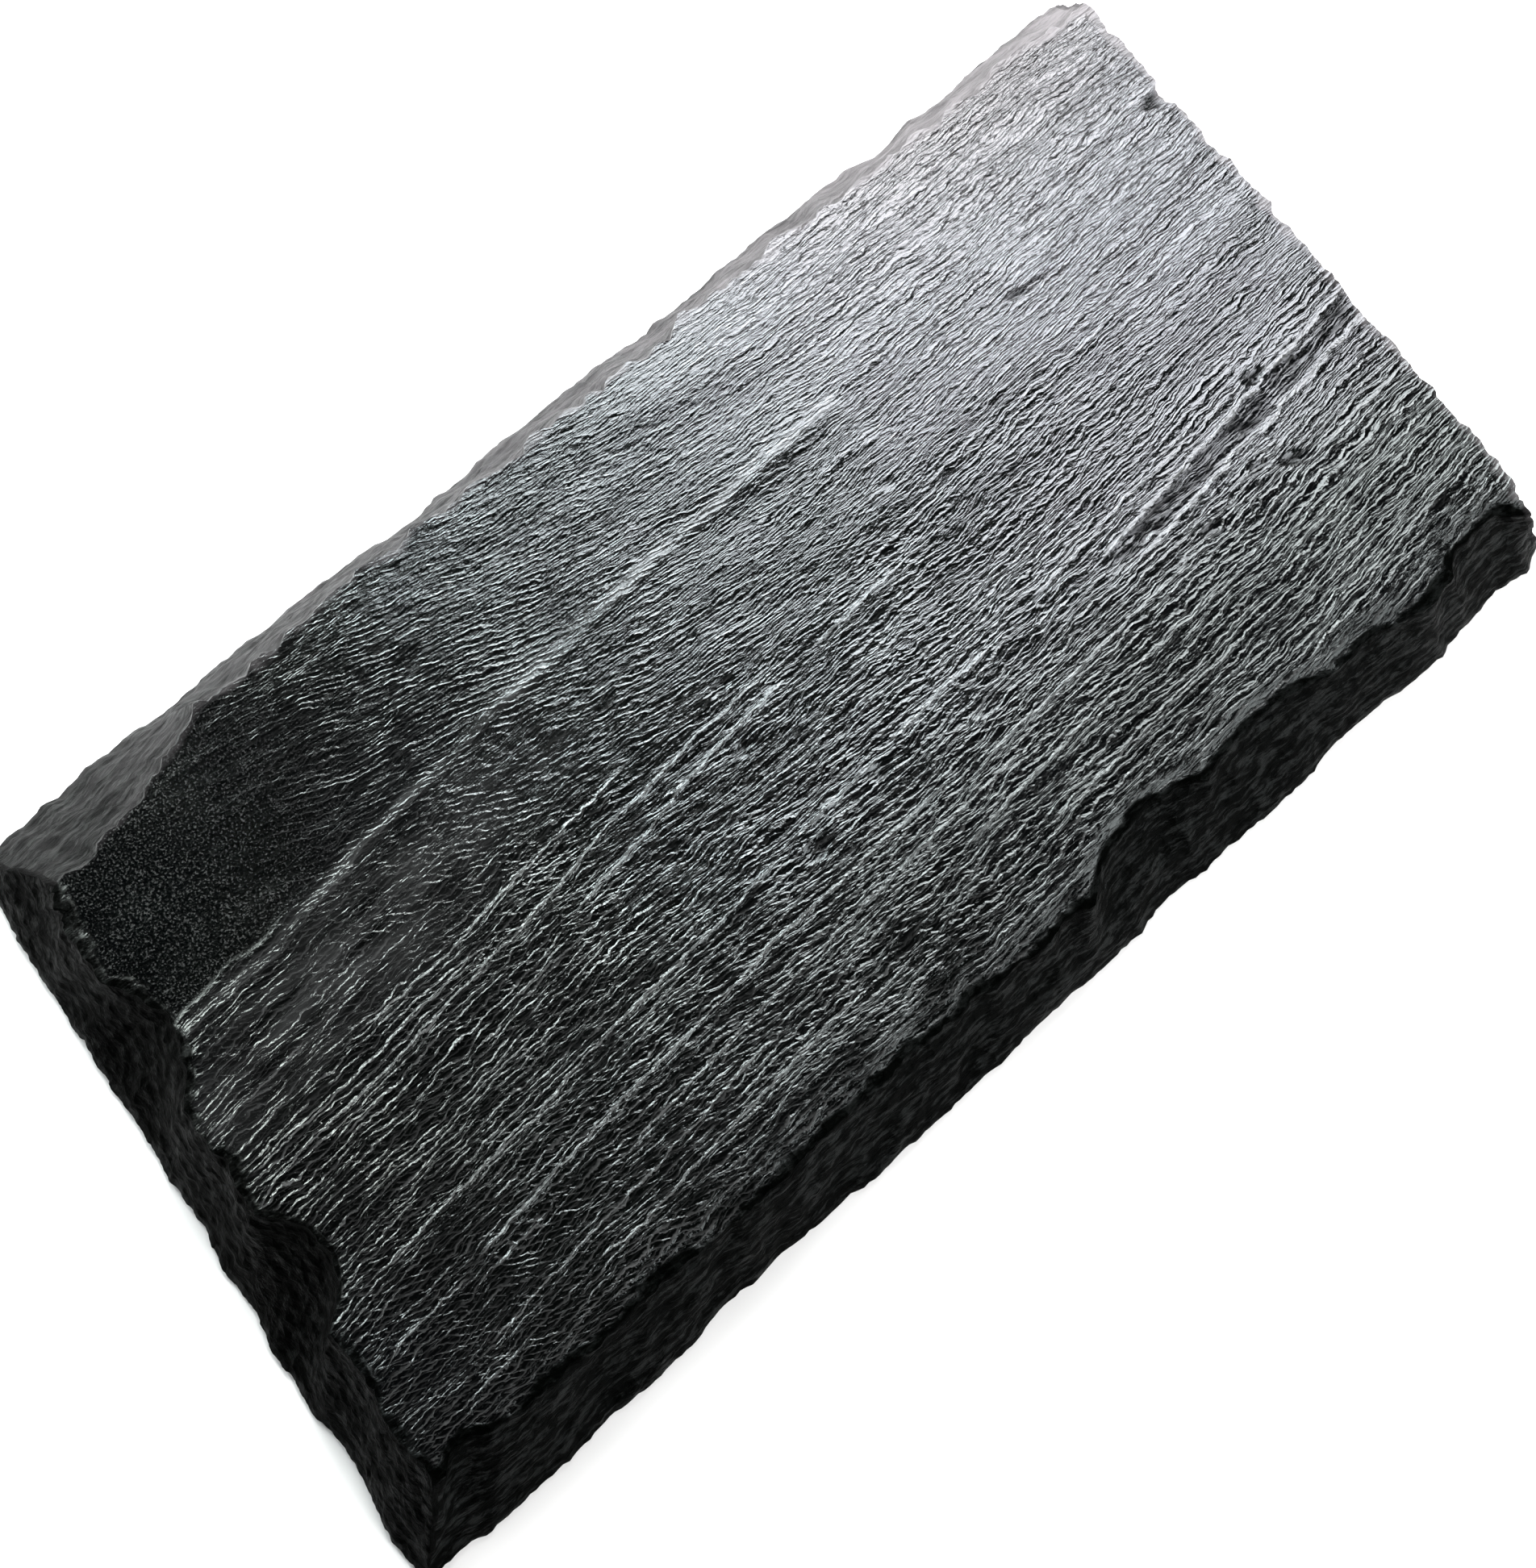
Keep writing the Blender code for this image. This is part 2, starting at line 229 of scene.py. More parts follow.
# How much the grain climbs towards the right at the front, how far the climb lessens towards the
# back, and how far the lines step across in the middle.
GRAIN_CLIMB = 0.075
GRAIN_EASE = 0.7
GRAIN_LEVEL = 0.0018
# The noises by which the grain wanders: reach, size along and across, and seed.
GRAIN_WANDER = ((0.0017, 0.060, 0.024, 1), (0.0008, 0.017, 0.0065, 2), (0.00050, 0.0060, 0.0024, 3))
# The hatch's fall towards the right, and how much steeper it falls at the left.
HATCH_FLAT = 0.16
HATCH_CURL = 0.38
HATCH_WANDER = ((0.0016, 0.030, 0.020, 46), (0.0006, 0.0110, 0.0060, 58))
# Where the hatch runs level with the grain: centre, reach along and across, and the turn there.
HATCH_LEVEL = (-0.020, -0.003, 0.045, 0.022, 0.20)
# The share of a rib's breadth that climbs.
RIB_LEAN = 0.55
# The lines of each family: share of a turn that climbs, share that falls back, reach and size of
# the jags, length of a line, and the noise levels at which a line is faint and strong.
GRAIN_LINES = (0.30, 0.24, 0.0034, 1.40, 0.0100, 0.38, 0.64)
HATCH_LINES = (0.32, 0.26, 0.0045, 1.60, 0.0055, 0.37, 0.63)
THIN_LINES = (0.34, 0.30, 0.0030, 1.50, 0.0060, 0.38, 0.62)
# How many thin lines there are to one rib, and how far apart two lines' noises are taken.
THIN_DENSITY = 2.15
LINE_STRIDE = 3.137
# The least strength of the hatch and of the grain, and the bells that change it: strength, centre,
# and reach along and across.
HATCH_LEAST = 0.28
HATCH_BELLS = (
    (0.55, -0.120, -0.060, 0.060, 0.030),
    (0.52, -0.040, 0.036, 0.060, 0.044),
    (0.42, -0.010, -0.030, 0.060, 0.040),
    (0.35, -0.017, -0.056, 0.030, 0.014),
)
GRAIN_LEAST = 0.25
# Strength of the grain in front and at the back right, with where it starts and over what span.
GRAIN_FRONT = (0.95, 0.035, 0.060)
GRAIN_BACK_RIGHT = (0.75, 0.010, 0.080, 0.040)
GRAIN_BELLS = (
    (0.10, 0.080, -0.045, 0.060, 0.040),
    (0.35, -0.110, -0.005, 0.050, 0.030),
    (-0.35, -0.020, 0.000, 0.045, 0.026),
    (-0.35, -0.125, -0.062, 0.040, 0.022),
    (-0.30, -0.115, -0.045, 0.040, 0.022),
    (-0.12, 0.075, -0.050, 0.060, 0.025),
    (-0.40, 0.095, -0.004, 0.050, 0.014),
)
# A strip along the front wall of the trough: centre along it and in front of it, and the reaches.
BESIDE_WALL = (0.107, -0.0020, 0.050, 0.0050)
# How a route fades at its ends, and how far and by which seed it wobbles.
ROUTE_FADE = 0.005
ROUTE_SEED = 971.3
ROUTE_WOBBLE = 0.00045
# The share of a step that is a narrow lip along its crest, and how far back the lip reaches.
LIP = 0.45
LIP_REACH = 0.0008
# The width of the sharp edge along a rise, the step and the width of a rise whose edge is at full
# strength, how far from a rise its edge is drawn, and over what distance it fades there.
EDGE_WIDTH = 0.00050
STRONG_STEP = 0.0006
SHARP_WIDTH = 0.0010
EDGE_REACH = 0.0018
EDGE_FADE = 0.0006
# The share by which the edges are lower at the right, where that begins and over what distance.
RIGHT_EASE = 0.55
RIGHT_EASE_START = 0.020
RIGHT_EASE_SPAN = 0.060
# The walls of the trough, and how much broader their edges are than the others.
WALLS = (BACK_WALL_LEFT, BACK_WALL_RIGHT, FRONT_WALL)
WALL_BREADTH = 2.0
# How much stronger the worn and painted-highlight crest of a sharp edge is than its height.
CREST_GAIN = 2.2

# The trough, a sunken strip where a layer has broken away: how far behind its back walls' edges it
# drops, the widths of the drop and of the climb out of it, and how rough its bottom is.
TROUGH_START = 0.0008
TROUGH_DROP = 0.0007
TROUGH_CLIMB = 0.0009
TROUGH_ROUGH = ((1.1, 0.0034, 0.0022, 41),)
# Pits: centre, half length, half width and depth.
PITS = from_mm((
    (116, -15.8, 2.2, 1.4, 1.3),
    (82, -24.2, 5, 1.4, 0.5),
    (106.5, -22.6, 2, 1.4, 0.5),
    (123.5, -19, 3.6, 1.6, 0.5),
    (102, -31.2, 5, 1, 0.6),
    (128, -38.2, 2.6, 1.2, 0.5),
    (75, -25.5, 1.8, 2.2, 0.8),
    (109, -34.5, 3, 2, 1),
    (93.2, 29.5, 2.6, 1.4, 0.8),
    (147.5, 43.5, 3.6, 1.4, 1),
    (44, 16.5, 3, 0.9, 0.4),
    (2, -27.5, 2.8, 1.6, 0.9),
    (-18, -31, 4, 2.2, 0.8),
    (-9, 6.2, 3, 1.4, 0.9),
    (-15, -6.2, 3, 1.4, 0.8),
    (27, -31.5, 4, 2.2, 0.5),
    (-137, 16, 3, 3, 0.6),
    (86, -34, 2.6, 1.6, 0.8),
))
PIT_SCALE = 0.6
# The smooth sunken patch in the back left corner: its front edge, where it ends towards the right,
# over what distance it fades there, and its depth.
PATCH_EDGE = from_mm(((-135, 22.5), (-106, 25), (-90, 28.5), (-70, 31)))
PATCH_END = -0.066
PATCH_FADE = 0.046
PATCH_DEPTH = 0.0004
# The rounded left end of the layer in front of the patch, as (y, x), and its step.
TONGUE = from_mm(((1, -119), (6, -122.5), (11, -126.5), (15, -130.5), (19, -133.5)))
TONGUE_STEP = 0.0004

# The worn fall of the front and left rims, how far it reaches into the top face, and how far the
# front rim loses its gloss.
RIM_FALL = 0.0014
RIM_REACH = 0.0105
RIM_DULL = 0.75

# Hollows under the slab: centre, half length, half width and depth.
HOLLOWS = from_mm((
    (-95, -18, 42, 20, 1.1),
    (18, -44, 48, 15, 0.9),
    (-20, 40, 56, 17, 1),
    (102, 16, 33, 19, 1.2),
))
# The turn of the hollows, in radians.
HOLLOW_TURN = -0.17

# Fineness of the surface: cells along and across the top face, levels down the sides and how they
# crowd towards the rim, cells along and across the underside, its inset from the foot's outline,
# and the distance over which its relief grows.
TOP_CELLS = (228, 330)
SIDE_LEVELS = 15
SIDE_CROWDING = 1.25
UNDER_CELLS = (60, 68)
UNDER_INSET = 0.0035
UNDER_EASE = 0.006

# Tints of the gloss from the left to the right, at the front and at the back right corner.
TINT_PLACES = (-0.110, -0.035, 0.080)
TINTS = ((0.93, 1.00, 0.94), (0.87, 0.97, 1.00), (0.90, 0.93, 1.00))
FRONT_TINT = (0.78, 0.86, 0.86)
WARM_TINT = (1.00, 0.97, 1.00)
WARM_PLACE = (0.120, 0.085, 0.060, 0.034)
# The calm corner: its centre and its reach along and across.
CALM_PLACE = (0.150, 0.072, 0.150, 0.085)
# Lost gloss: on the trough's floor, the depth of a pit that loses all of it, at the left and where
# that begins and over what distance, near the front, and the most that is lost anywhere.
DULL_FLOOR = 0.75
DULL_PIT = 0.0011
DULL_LEFT = (0.32, -0.045, 0.050)
DULL_FRONT = 0.36
DULL_FRONT_PLACE = (0.045, -0.062, 0.115, 0.030)
DULL_MOST = 0.85
# The worn colour's share on the scuffed streaks and on the first two bevels, where the streaks are,
# and how far a bevel's wear reaches.
SCUFF = 0.12
SCUFF_PLACE = (-0.095, 0.0285, 0.045, 0.0090)
BEVEL_WEAR = (0.13, 0.25)
BEVEL_REACH = 0.0013
# How far the back side looks like the split top face instead of the broken sides.
BACK_SPLIT = 0.15
# How far the painted light on the back and right rims reaches into the top face, its least share,
# at the left, and its strength at the right side.
PAINTED_LIGHT_REACH = 0.0016
PAINTED_LIGHT_LEAST = 0.04
RIGHT_PAINTED_LIGHT = 0.95

# How the leaves' pattern is stretched on the front and back sides, and on the left and right, and
# how the streaks of the painted light are stretched along the back side and down it.
LEAF_STRETCH = ((0.50, 1.3, 3.2), (1.0, 0.80, 1.8))
STREAK_STRETCH = (0.20, 0.40, 2.6)
FACET_STRETCH = (1.0, 1.0, 1.6)
# Scales of the material's noises, as cells to a metre.
DRIFT_SCALE = 14.0
SAND_SCALE = 2100.0
LEAF_SCALE = 520.0
CHIP_SCALE = 330.0
FACET_SCALE = 300.0
# Where the material's drift turns green, plain and blue, as levels of its noise.
DRIFT_STOPS = (0.30, 0.50, 0.72)
# How much a side's facets add to its leaves, and the middle of the two together, which is taken off
# so that the bump doesn't lift the rim.
FACET_GAIN = 1.4
LEAF_MIDDLE = 1.02
# How light the hatch's and the thin lines' crests, worn and painted as highlights, are beside the
# grain's, and how dark the shaded feet of the thin lines and of all lines are.
HATCH_CREST = 0.7
THIN_CREST = 0.22
THIN_FOOT = 0.7
FOOT_GAIN = 1.3
# The share of the relief that is left in the calm corner, and the tooth that is added there.
CALM_RELIEF = 0.62
CALM_TOOTH = 3.6
# How rough broken stone, and the rims and sides with painted light, are on top of the split face's
# roughness.
BROKEN_ROUGH = 0.3
PAINTED_LIGHT_ROUGH = 0.4

# Noises, each of one or more layers: strength, size along x and along y, and seed.
SIDE_ROUGH = ((0.9, 0.0070, 0.0045, 1), (0.8, 0.0026, 0.0020, 2), (0.45, 0.0011, 0.0010, 3))
LEAF_WANDER = ((0.9, 0.0120, 0.0060, 4),)
TOP_WAVES = ((1.0, 0.090, 0.050, 7), (0.35, 0.030, 0.011, 8))
TOP_GRAIN = ((0.00005, 0.0014, 0.0010, 9),)
PIT_SHIFT_X = ((0.0012, 0.0030, 0.0022, 47),)
PIT_SHIFT_Y = ((0.0009, 0.0032, 0.0020, 48),)
PIT_ROUGH = ((0.45, 0.0020, 0.0014, 43),)
PATCH_RAGGED = ((0.0016, 0.0100, 0.0030, 45),)
RIM_RAGGED = ((0.5, 0.012, 0.012, 53),)
SPLIT_RAGGED = ((0.0020, 0.0085, 0.0085, 54), (0.0009, 0.0022, 0.0022, 55))
HATCH_PATCHES = ((0.5, 0.014, 0.009, 56),)
GRAIN_PATCHES = ((0.4, 0.022, 0.010, 57),)
TINT_DRIFT = ((0.018, 0.040, 0.026, 59),)
UNDER_RIM = ((0.6, 0.006, 0.006, 61),)
UNDER_WAVES = ((1.0, 0.034, 0.0055, 62), (0.5, 0.012, 0.0026, 63))
PAINTED_LIGHT_MOTTLE = ((0.45, 0.0110, 0.28, 64),)
# The same along a line: strength, size and seed.
JAG_NOISE = ((1.0, 0.0048, 5), (0.6, 0.0021, 6))
ROUTE_NOISE = ((1.0, 0.0042, 31), (0.5, 0.0013, 32))
ROUTE_SWELL = ((0.35, 0.0150, 33),)
SCALLOPS = ((0.6, 0.0060, 51), (0.4, 0.0021, 52))
# Strengths that swell and fade: seed, middle, size of the noise, least and most.
RIB_SWELL = (4, 0.50, 1.0, 0.05, 1.5)
HATCH_SWELL = (6, 0.6, 1.0, 0.1, 1.4)
DULL_SWELL = (65, 0.75, 0.9, 0.1, 1.2)
SCUFF_SWELL = (60, 0.6, 0.9, 0.0, 1.4)
# Each side's noises have seeds of their own.
SEEDS_PER_SIDE = 10
# Share of the ribs that the smooth patch loses.
PATCH_LOSS = 0.93
# How much of a layer's step shows on a side, and how fast the jags of the rim fade down it.
LEAF_SHOWS = 0.6
JAG_FADE = 4
# The numbers that mix the lattice's column, its row and the seed into a direction.
HASH_PRIMES = (73856093, 19349663, 83492791)
HASH_STIR = 1274126177


def smooth_step(value):
    """0 below 0, 1 above 1, and 3 v^2 - 2 v^3 between."""
    value = np.clip(value, 0.0, 1.0)
    return value * value * (3.0 - 2.0 * value)


def gradient_noise(x, y, seed):
    """Smooth noise of about -1 to 1 on a unit lattice.

    Each lattice corner has a direction hashed from its indices and the seed; the corner's value is
    the dot product of that direction and the offset from the corner, and the four corners are
    blended with 6 f^5 - 15 f^4 + 10 f^3 of the place within the cell.
    """
    column, row = np.floor(x), np.floor(y)
    across, up = x - column, y - row
    column, row = column.astype(np.int64), row.astype(np.int64)
    by_column, by_row, by_seed = HASH_PRIMES

    def corner(step_x, step_y):
        key = (column + step_x) * by_column ^ (row + step_y) * by_row ^ seed * by_seed
        key = (key ^ (key >> 13)) * HASH_STIR & 0xFFFFFFFF
        key = (key ^ (key >> 16)) & 0xFFFF
        angle = key * (2.0 * math.pi / 65536.0)
        return np.cos(angle) * (across - step_x) + np.sin(angle) * (up - step_y)

    blend_x = across**3 * (across * (across * 6.0 - 15.0) + 10.0)
    blend_y = up**3 * (up * (up * 6.0 - 15.0) + 10.0)
    low = corner(0, 0) * (1.0 - blend_x) + corner(1, 0) * blend_x
    high = corner(0, 1) * (1.0 - blend_x) + corner(1, 1) * blend_x
    return 1.5 * (low * (1.0 - blend_y) + high * blend_y)


def noise_sum(x, y, layers, start=0.0, shift=0):
    """A start plus the layers of noise, each strength * noise over its two sizes."""
    total = start
    for strength, size_x, size_y, seed in layers:
        total = total + strength * gradient_noise(x / size_x, y / size_y, seed + shift)
    return total


def line_noise(x, layers, shift=0, row=0.5):
    """The layers of noise along one row of the lattice, for what changes along a line only."""
    total = 0.0
    for strength, size, seed in layers:
        total = total + strength * gradient_noise(x / size, x * 0.0 + row, seed + shift)
    return total


def swell_noise(x, y, seed, middle, size, least, most):
    """The noise as a strength: middle + size * noise, kept between a least and a most."""
    return np.clip(middle + size * gradient_noise(x, y, seed), least, most)


def bell(x, y, centre_x, centre_y, reach_x, reach_y):
    """1 at the centre, and exp(-(offset along / reach)^2 - (offset across / reach)^2) elsewhere."""
    return np.exp(-(((x - centre_x) / reach_x) ** 2) - ((y - centre_y) / reach_y) ** 2)


def cap(x, y, centre_x, centre_y, half_length, half_width):
    """1 - (offset along / half length)^2 - (offset across / half width)^2, negative outside."""
    return 1.0 - ((x - centre_x) / half_length) ** 2 - ((y - centre_y) / half_width) ** 2


def blend_corners(corners, u, v):
    """The four corners weighted by (1-u)(1-v), u(1-v), (1-u)v and uv."""
    weights = {
        "front_left": (1.0 - u) * (1.0 - v),
        "front_right": u * (1.0 - v),
        "back_left": (1.0 - u) * v,
        "back_right": u * v,
    }
    x = sum(weight * corners[name][0] for name, weight in weights.items())
    y = sum(weight * corners[name][1] for name, weight in weights.items())
    return np.stack([x, y], axis=-1)


def inward_normals():
    """The unit vector in plan that points into the slab from each side of the top face."""
    ends = {
        "front": ("front_left", "front_right"),
        "back": ("back_right", "back_left"),
        "left": ("back_left", "front_left"),
        "right": ("front_right", "back_right"),
    }
    normals = {}
    for side, (start, end) in ends.items():
        along = np.subtract(TOP_CORNERS[end], TOP_CORNERS[start])
        normals[side] = np.array([-along[1], along[0]]) / np.hypot(*along)
    return normals


def scatter_spalls():
    """Seeded spalls for each side: place along it, level, half length, half height and depth."""
    random = np.random.default_rng(SPALL_SEED)
    spalls = {}
    for side in SIDES:
        length = TOP_LENGTH if side in ("front", "back") else TOP_WIDTH
        spalls[side] = [
            (
                random.uniform(0.0, length),
                random.uniform(0.15, 1.0),
                random.uniform(*SPALL_HALF_LENGTH),
                random.uniform(*SPALL_HALF_HEIGHT),
                random.uniform(*SPALL_DEPTH),
            )
            for _ in range(int(length / SPALL_SPACING))
        ]
    return spalls


def bite_depth(side, along, level, spalls):
    """The deepest chip plus the deepest nick or spall.

    A chip or nick is a parabola along the side, 1 - (offset / half length)^2, which fades down the
    side as (1 - t)^decay, or up it as t. A spall is the cap 1 - (offset along)^2 - (offset down)^2.
    """
    chip = np.zeros_like(along)
    for place, half, bite, decay in CHIPS[side]:
        hump = np.maximum(0.0, 1.0 - ((along - place) / half) ** 2)
        chip = np.maximum(chip, bite * hump * (1.0 - level) ** decay)
    dish = np.zeros_like(along)
    for place, half, depth in FOOT_NICKS[side]:
        hump = np.maximum(0.0, 1.0 - ((along - place) / half) ** 2)
        dish = np.maximum(dish, depth * hump * level)
    for place, middle, half_length, half_height, depth in spalls[side]:
        spall = cap(along, level, place, middle, half_length, half_height)
        dish = np.maximum(dish, depth * spall)
    return chip + dish


def edge_roughness(side, along, level, settings):
    """Fine break of the dressed sides: noise at three sizes, plus the thin edges of split layers.

    The small jags of the rim are added, and fade down the side as (1 - t)^4.
    """
    shift = SIDES.index(side) * SEEDS_PER_SIDE
    down = level * (CAD_HIGH[2] - CAD_LOW[2])
    leaf = noise_sum(along, down, LEAF_WANDER, down / settings.leaf_thickness, shift)
    step = (leaf - np.floor(leaf)) - 0.5
    jags = RIM_JAGS[side] * (1.0 - level) ** JAG_FADE * line_noise(along, JAG_NOISE, shift)
    rough = noise_sum(along, down, SIDE_ROUGH, shift=shift) + LEAF_SHOWS * step
    return jags + settings.side_roughness * rough


def plan_position(u, v, level, settings):
    """Where (u, v) lies in plan at a level down the side.

    The blend of the top corners runs into the blend of the foot corners with the level. Each side
    then pushes its rim inwards by its bite and roughness, which fade into the slab as
    (1 - distance / reach)^2, and each corner is drawn in by wear * exp(-(distance / radius)^2).
    """
    normals = inward_normals()
    spalls = scatter_spalls()
    top = blend_corners(TOP_CORNERS, u, v)
    foot = blend_corners(FOOT_CORNERS, u, v)
    point = top + (foot - top) * level[..., None]
    sides = {
        "front": (u * TOP_LENGTH, v * TOP_WIDTH),
        "back": (u * TOP_LENGTH, (1.0 - v) * TOP_WIDTH),
        "left": (v * TOP_WIDTH, u * TOP_LENGTH),
        "right": (v * TOP_WIDTH, (1.0 - u) * TOP_LENGTH),
    }
    for side, (along, distance) in sides.items():
        wide = np.clip(1.0 - distance / CHIP_REACH, 0.0, 1.0) ** 2
        narrow = np.clip(1.0 - distance / BREAK_REACH, 0.0, 1.0) ** 2
        push = bite_depth(side, along, level, spalls) * wide
        push = push + edge_roughness(side, along, level, settings) * narrow
        point = point + push[..., None] * normals[side]
    for corner_u in (0.0, 1.0):
        for corner_v in (0.0, 1.0):
            away = np.hypot((u - corner_u) * TOP_LENGTH, (v - corner_v) * TOP_WIDTH)
            wear = CORNER_WEAR * np.exp(-((away / CORNER_WEAR_RADIUS) ** 2))
            length = np.maximum(np.hypot(point[..., 0], point[..., 1]), 1e-6)
            point = point - point * (wear / length)[..., None]
    return point


def past_route(x, y, route):
    """Distance in front of a route, which wobbles a little, and a share that fades at its ends."""
    xs, ys = np.transpose(route)
    row = ROUTE_SEED * (xs[0] + ys[-1]) + 0.5
    past = np.interp(x, xs, ys) + ROUTE_WOBBLE * line_noise(x, ROUTE_NOISE, row=row) - y
    fade = smooth_step((x - xs[0]) / ROUTE_FADE) * smooth_step((xs[-1] - x) / ROUTE_FADE)
    strength = 0.75 + line_noise(x, ROUTE_SWELL, row=row)
    return past, fade * strength


def layer_edges(x, y):
    """Height of the rises and drops, then the distance past the nearest crest and how strong it is.

    A rise is step * smooth_step(past / width) * fade, steep on the back side of its crest. The fade
    is a narrow lip plus a broad layer, LIP * exp(-beyond / LIP_REACH) + (1 - LIP) * exp(-beyond /
    reach), where beyond is the distance past the crest. A drop is the same, seen from behind, and
    has no sharp edge.
    """
    height, nearest, weight = np.zeros_like(x), np.zeros_like(x), np.zeros_like(x)
    ease = 1.0 - RIGHT_EASE * smooth_step((x - RIGHT_EASE_START) / RIGHT_EASE_SPAN)
    for direction, edges in ((1.0, RISES), (-1.0, DROPS)):
        for step, width, reach, route in edges:
            past, share = past_route(x, y, route)
            past = past * direction
            beyond = np.maximum(past - width, 0.0)
            fade = LIP * np.exp(-beyond / LIP_REACH) + (1.0 - LIP) * np.exp(-beyond / reach)
            height += step * smooth_step(past / width) * fade * share
            if direction > 0:
                sharp = min(step / STRONG_STEP, 1.0) * min((SHARP_WIDTH / width) ** 2, 1.0)
                breadth = WALL_BREADTH if route in WALLS else 1.0
                within = smooth_step((EDGE_REACH - np.abs(past - width)) / EDGE_FADE)
                near = share * np.minimum(sharp * ease * breadth, 1.0) * within
                nearest = np.where(near > weight, (past - width) / breadth, nearest)
                weight = np.maximum(weight, near)
    return height, nearest, weight


def trough_share(x, y, short=0.0):
    """1 in the strip behind its back walls' edges that ends at, or short of, its front wall."""
    past_front, _ = past_route(x, y, FRONT_WALL)
    inside = np.zeros_like(x)
    for wall in (BACK_WALL_LEFT, BACK_WALL_RIGHT):
        past_back, share = past_route(x, y, wall)
        sunk = smooth_step((past_back - TROUGH_START) / TROUGH_DROP) * np.minimum(share, 1.0)
        inside = np.maximum(inside, sunk)
    return inside * (1.0 - smooth_step((past_front + short) / TROUGH_CLIMB))


def trough_depth(x, y, settings):
    """The depth of the trough, whose bottom is rough."""
    return settings.trough_depth * trough_share(x, y) * noise_sum(x, y, TROUGH_ROUGH, 1.0)


def pit_depth(x, y):
    """The deepest of the pits, each a cap with a ragged outline and a rough bottom."""
    deepest = np.zeros_like(x)
    x, y = noise_sum(x, y, PIT_SHIFT_X, x), noise_sum(x, y, PIT_SHIFT_Y, y)
    rough = noise_sum(x, y, PIT_ROUGH)
    for pit_x, pit_y, length, width, depth in PITS:
        dip = smooth_step(1.3 * cap(x, y, pit_x, pit_y, length, width))
        deepest = np.maximum(deepest, PIT_SCALE * depth * dip * (1.0 + rough))
    return deepest


def patch_share(x, y):
    """1 inside the smooth patch, behind its front edge, fading away towards the right."""
    xs, ys = np.transpose(PATCH_EDGE)
    ragged = noise_sum(x, y, PATCH_RAGGED)
    behind = smooth_step((y - np.interp(x, xs, ys) - ragged) / 0.0025)
    return behind * smooth_step((PATCH_END - x + 5.0 * ragged) / PATCH_FADE)


def tongue_step(x, y):
    """The rounded end of a layer: a step to the right of its edge that then dies away."""
    ys, xs = np.transpose(TONGUE)
    past = x - np.interp(y, ys, xs)
    in_reach = smooth_step((y - ys[0]) / 0.003) * smooth_step((ys[-1] - y) / 0.003)
    dying = np.exp(-np.maximum(past, 0) / 0.012)
    return TONGUE_STEP * smooth_step(past / 0.0012) * dying * in_reach


def grain_place(x, y):
    """Distance along the grain and across it.

    The grain climbs towards the right by GRAIN_CLIMB at the front, less towards the back, and
    wanders with noise at three sizes.
    """
    climb = GRAIN_CLIMB * (1.0 - GRAIN_EASE * smooth_step((y + 0.010) / 0.080))
    across = y - climb * x
    across = across + GRAIN_LEVEL * np.tanh((x + 0.020) / 0.030)
    for reach, size_x, size_y, seed in GRAIN_WANDER:
        across = across + reach * gradient_noise(x / size_x, across / size_y, seed)
    return x, across


def hatch_place(x, y):
    """Distance along the slanting hatch and across it.

    The hatch falls towards the right with a slope of flat + curl * q^2, where q runs from 0 at the
    right side to 1 at the left, so its lines are x flat - curl * span * q^3 / 3 below each other.
    Round one place a bell-shaped turn brings it level with the grain.
    """
    q = np.clip((0.15 - x) / 0.30, 0.0, 1.1)
    across = y + HATCH_FLAT * x - HATCH_CURL * 0.10 * q**3
    *place, turn = HATCH_LEVEL
    across = across - turn * (x - place[0]) * bell(x, y, *place)
    return x - 0.45 * y, noise_sum(x, y, HATCH_WANDER, across)


def saw_ridge(phase):
    """Rises over the first part, RIB_LEAN, of each turn of the phase and falls over the rest."""
    turn = phase - np.floor(phase)
    return np.where(turn < RIB_LEAN, turn / RIB_LEAN, (1.0 - turn) / (1.0 - RIB_LEAN))


def ribs(x, y, settings):
    """Fine ridges along the grain, steep towards the back and gentle towards the front.

    The distance across the grain over the spacing is a phase for saw_ridge, and a noise that is
    longer along the grain makes each ridge swell and fade. The slanting hatch is made the same way.
    """
    along, across = grain_place(x, y)
    spacing = settings.rib_spacing
    swell = swell_noise(along / 0.0110, across / (spacing * 1.2), *RIB_SWELL)
    swell = swell * (1.0 - 0.5 * calm_share(x, y))
    grain = settings.rib_height * saw_ridge(across / spacing) * swell * grain_share(x, y)
    along, across = hatch_place(x, y)
    swell = swell_noise(along / 0.0060, across / 0.00130, *HATCH_SWELL)
    hatch = settings.hatch_height * saw_ridge(across / settings.hatch_spacing) * swell
    return grain + hatch * hatch_share(x, y)


def top_relief(x, y, settings):
    """Height of the riven top face over its mean plane: waves, layers, ribs, trough and pits."""
    patch = patch_share(x, y)
    height = settings.wave_height * noise_sum(x, y, TOP_WAVES)
    height = height + settings.layer_scale * layer_edges(x, y)[0]
    height = height + ribs(x, y, settings) * (1.0 - PATCH_LOSS * patch)
    height = noise_sum(x, y, TOP_GRAIN, height) + tongue_step(x, y)
    return height - PATCH_DEPTH * patch - trough_depth(x, y, settings) - pit_depth(x, y)


def rim_fall(x, y, u, v):
    """How far the worn front and left rims sink: RIM_FALL * (1 - distance / reach)^2, raggedly."""
    ragged = noise_sum(x, y, RIM_RAGGED, 1.0)
    front = np.clip(1.0 - v * TOP_WIDTH / (RIM_REACH * ragged), 0.0, 1.0) ** 2
    left = np.clip(1.0 - u * TOP_LENGTH / (RIM_REACH * ragged), 0.0, 1.0) ** 2
    return RIM_FALL * np.maximum(front, 0.7 * left)


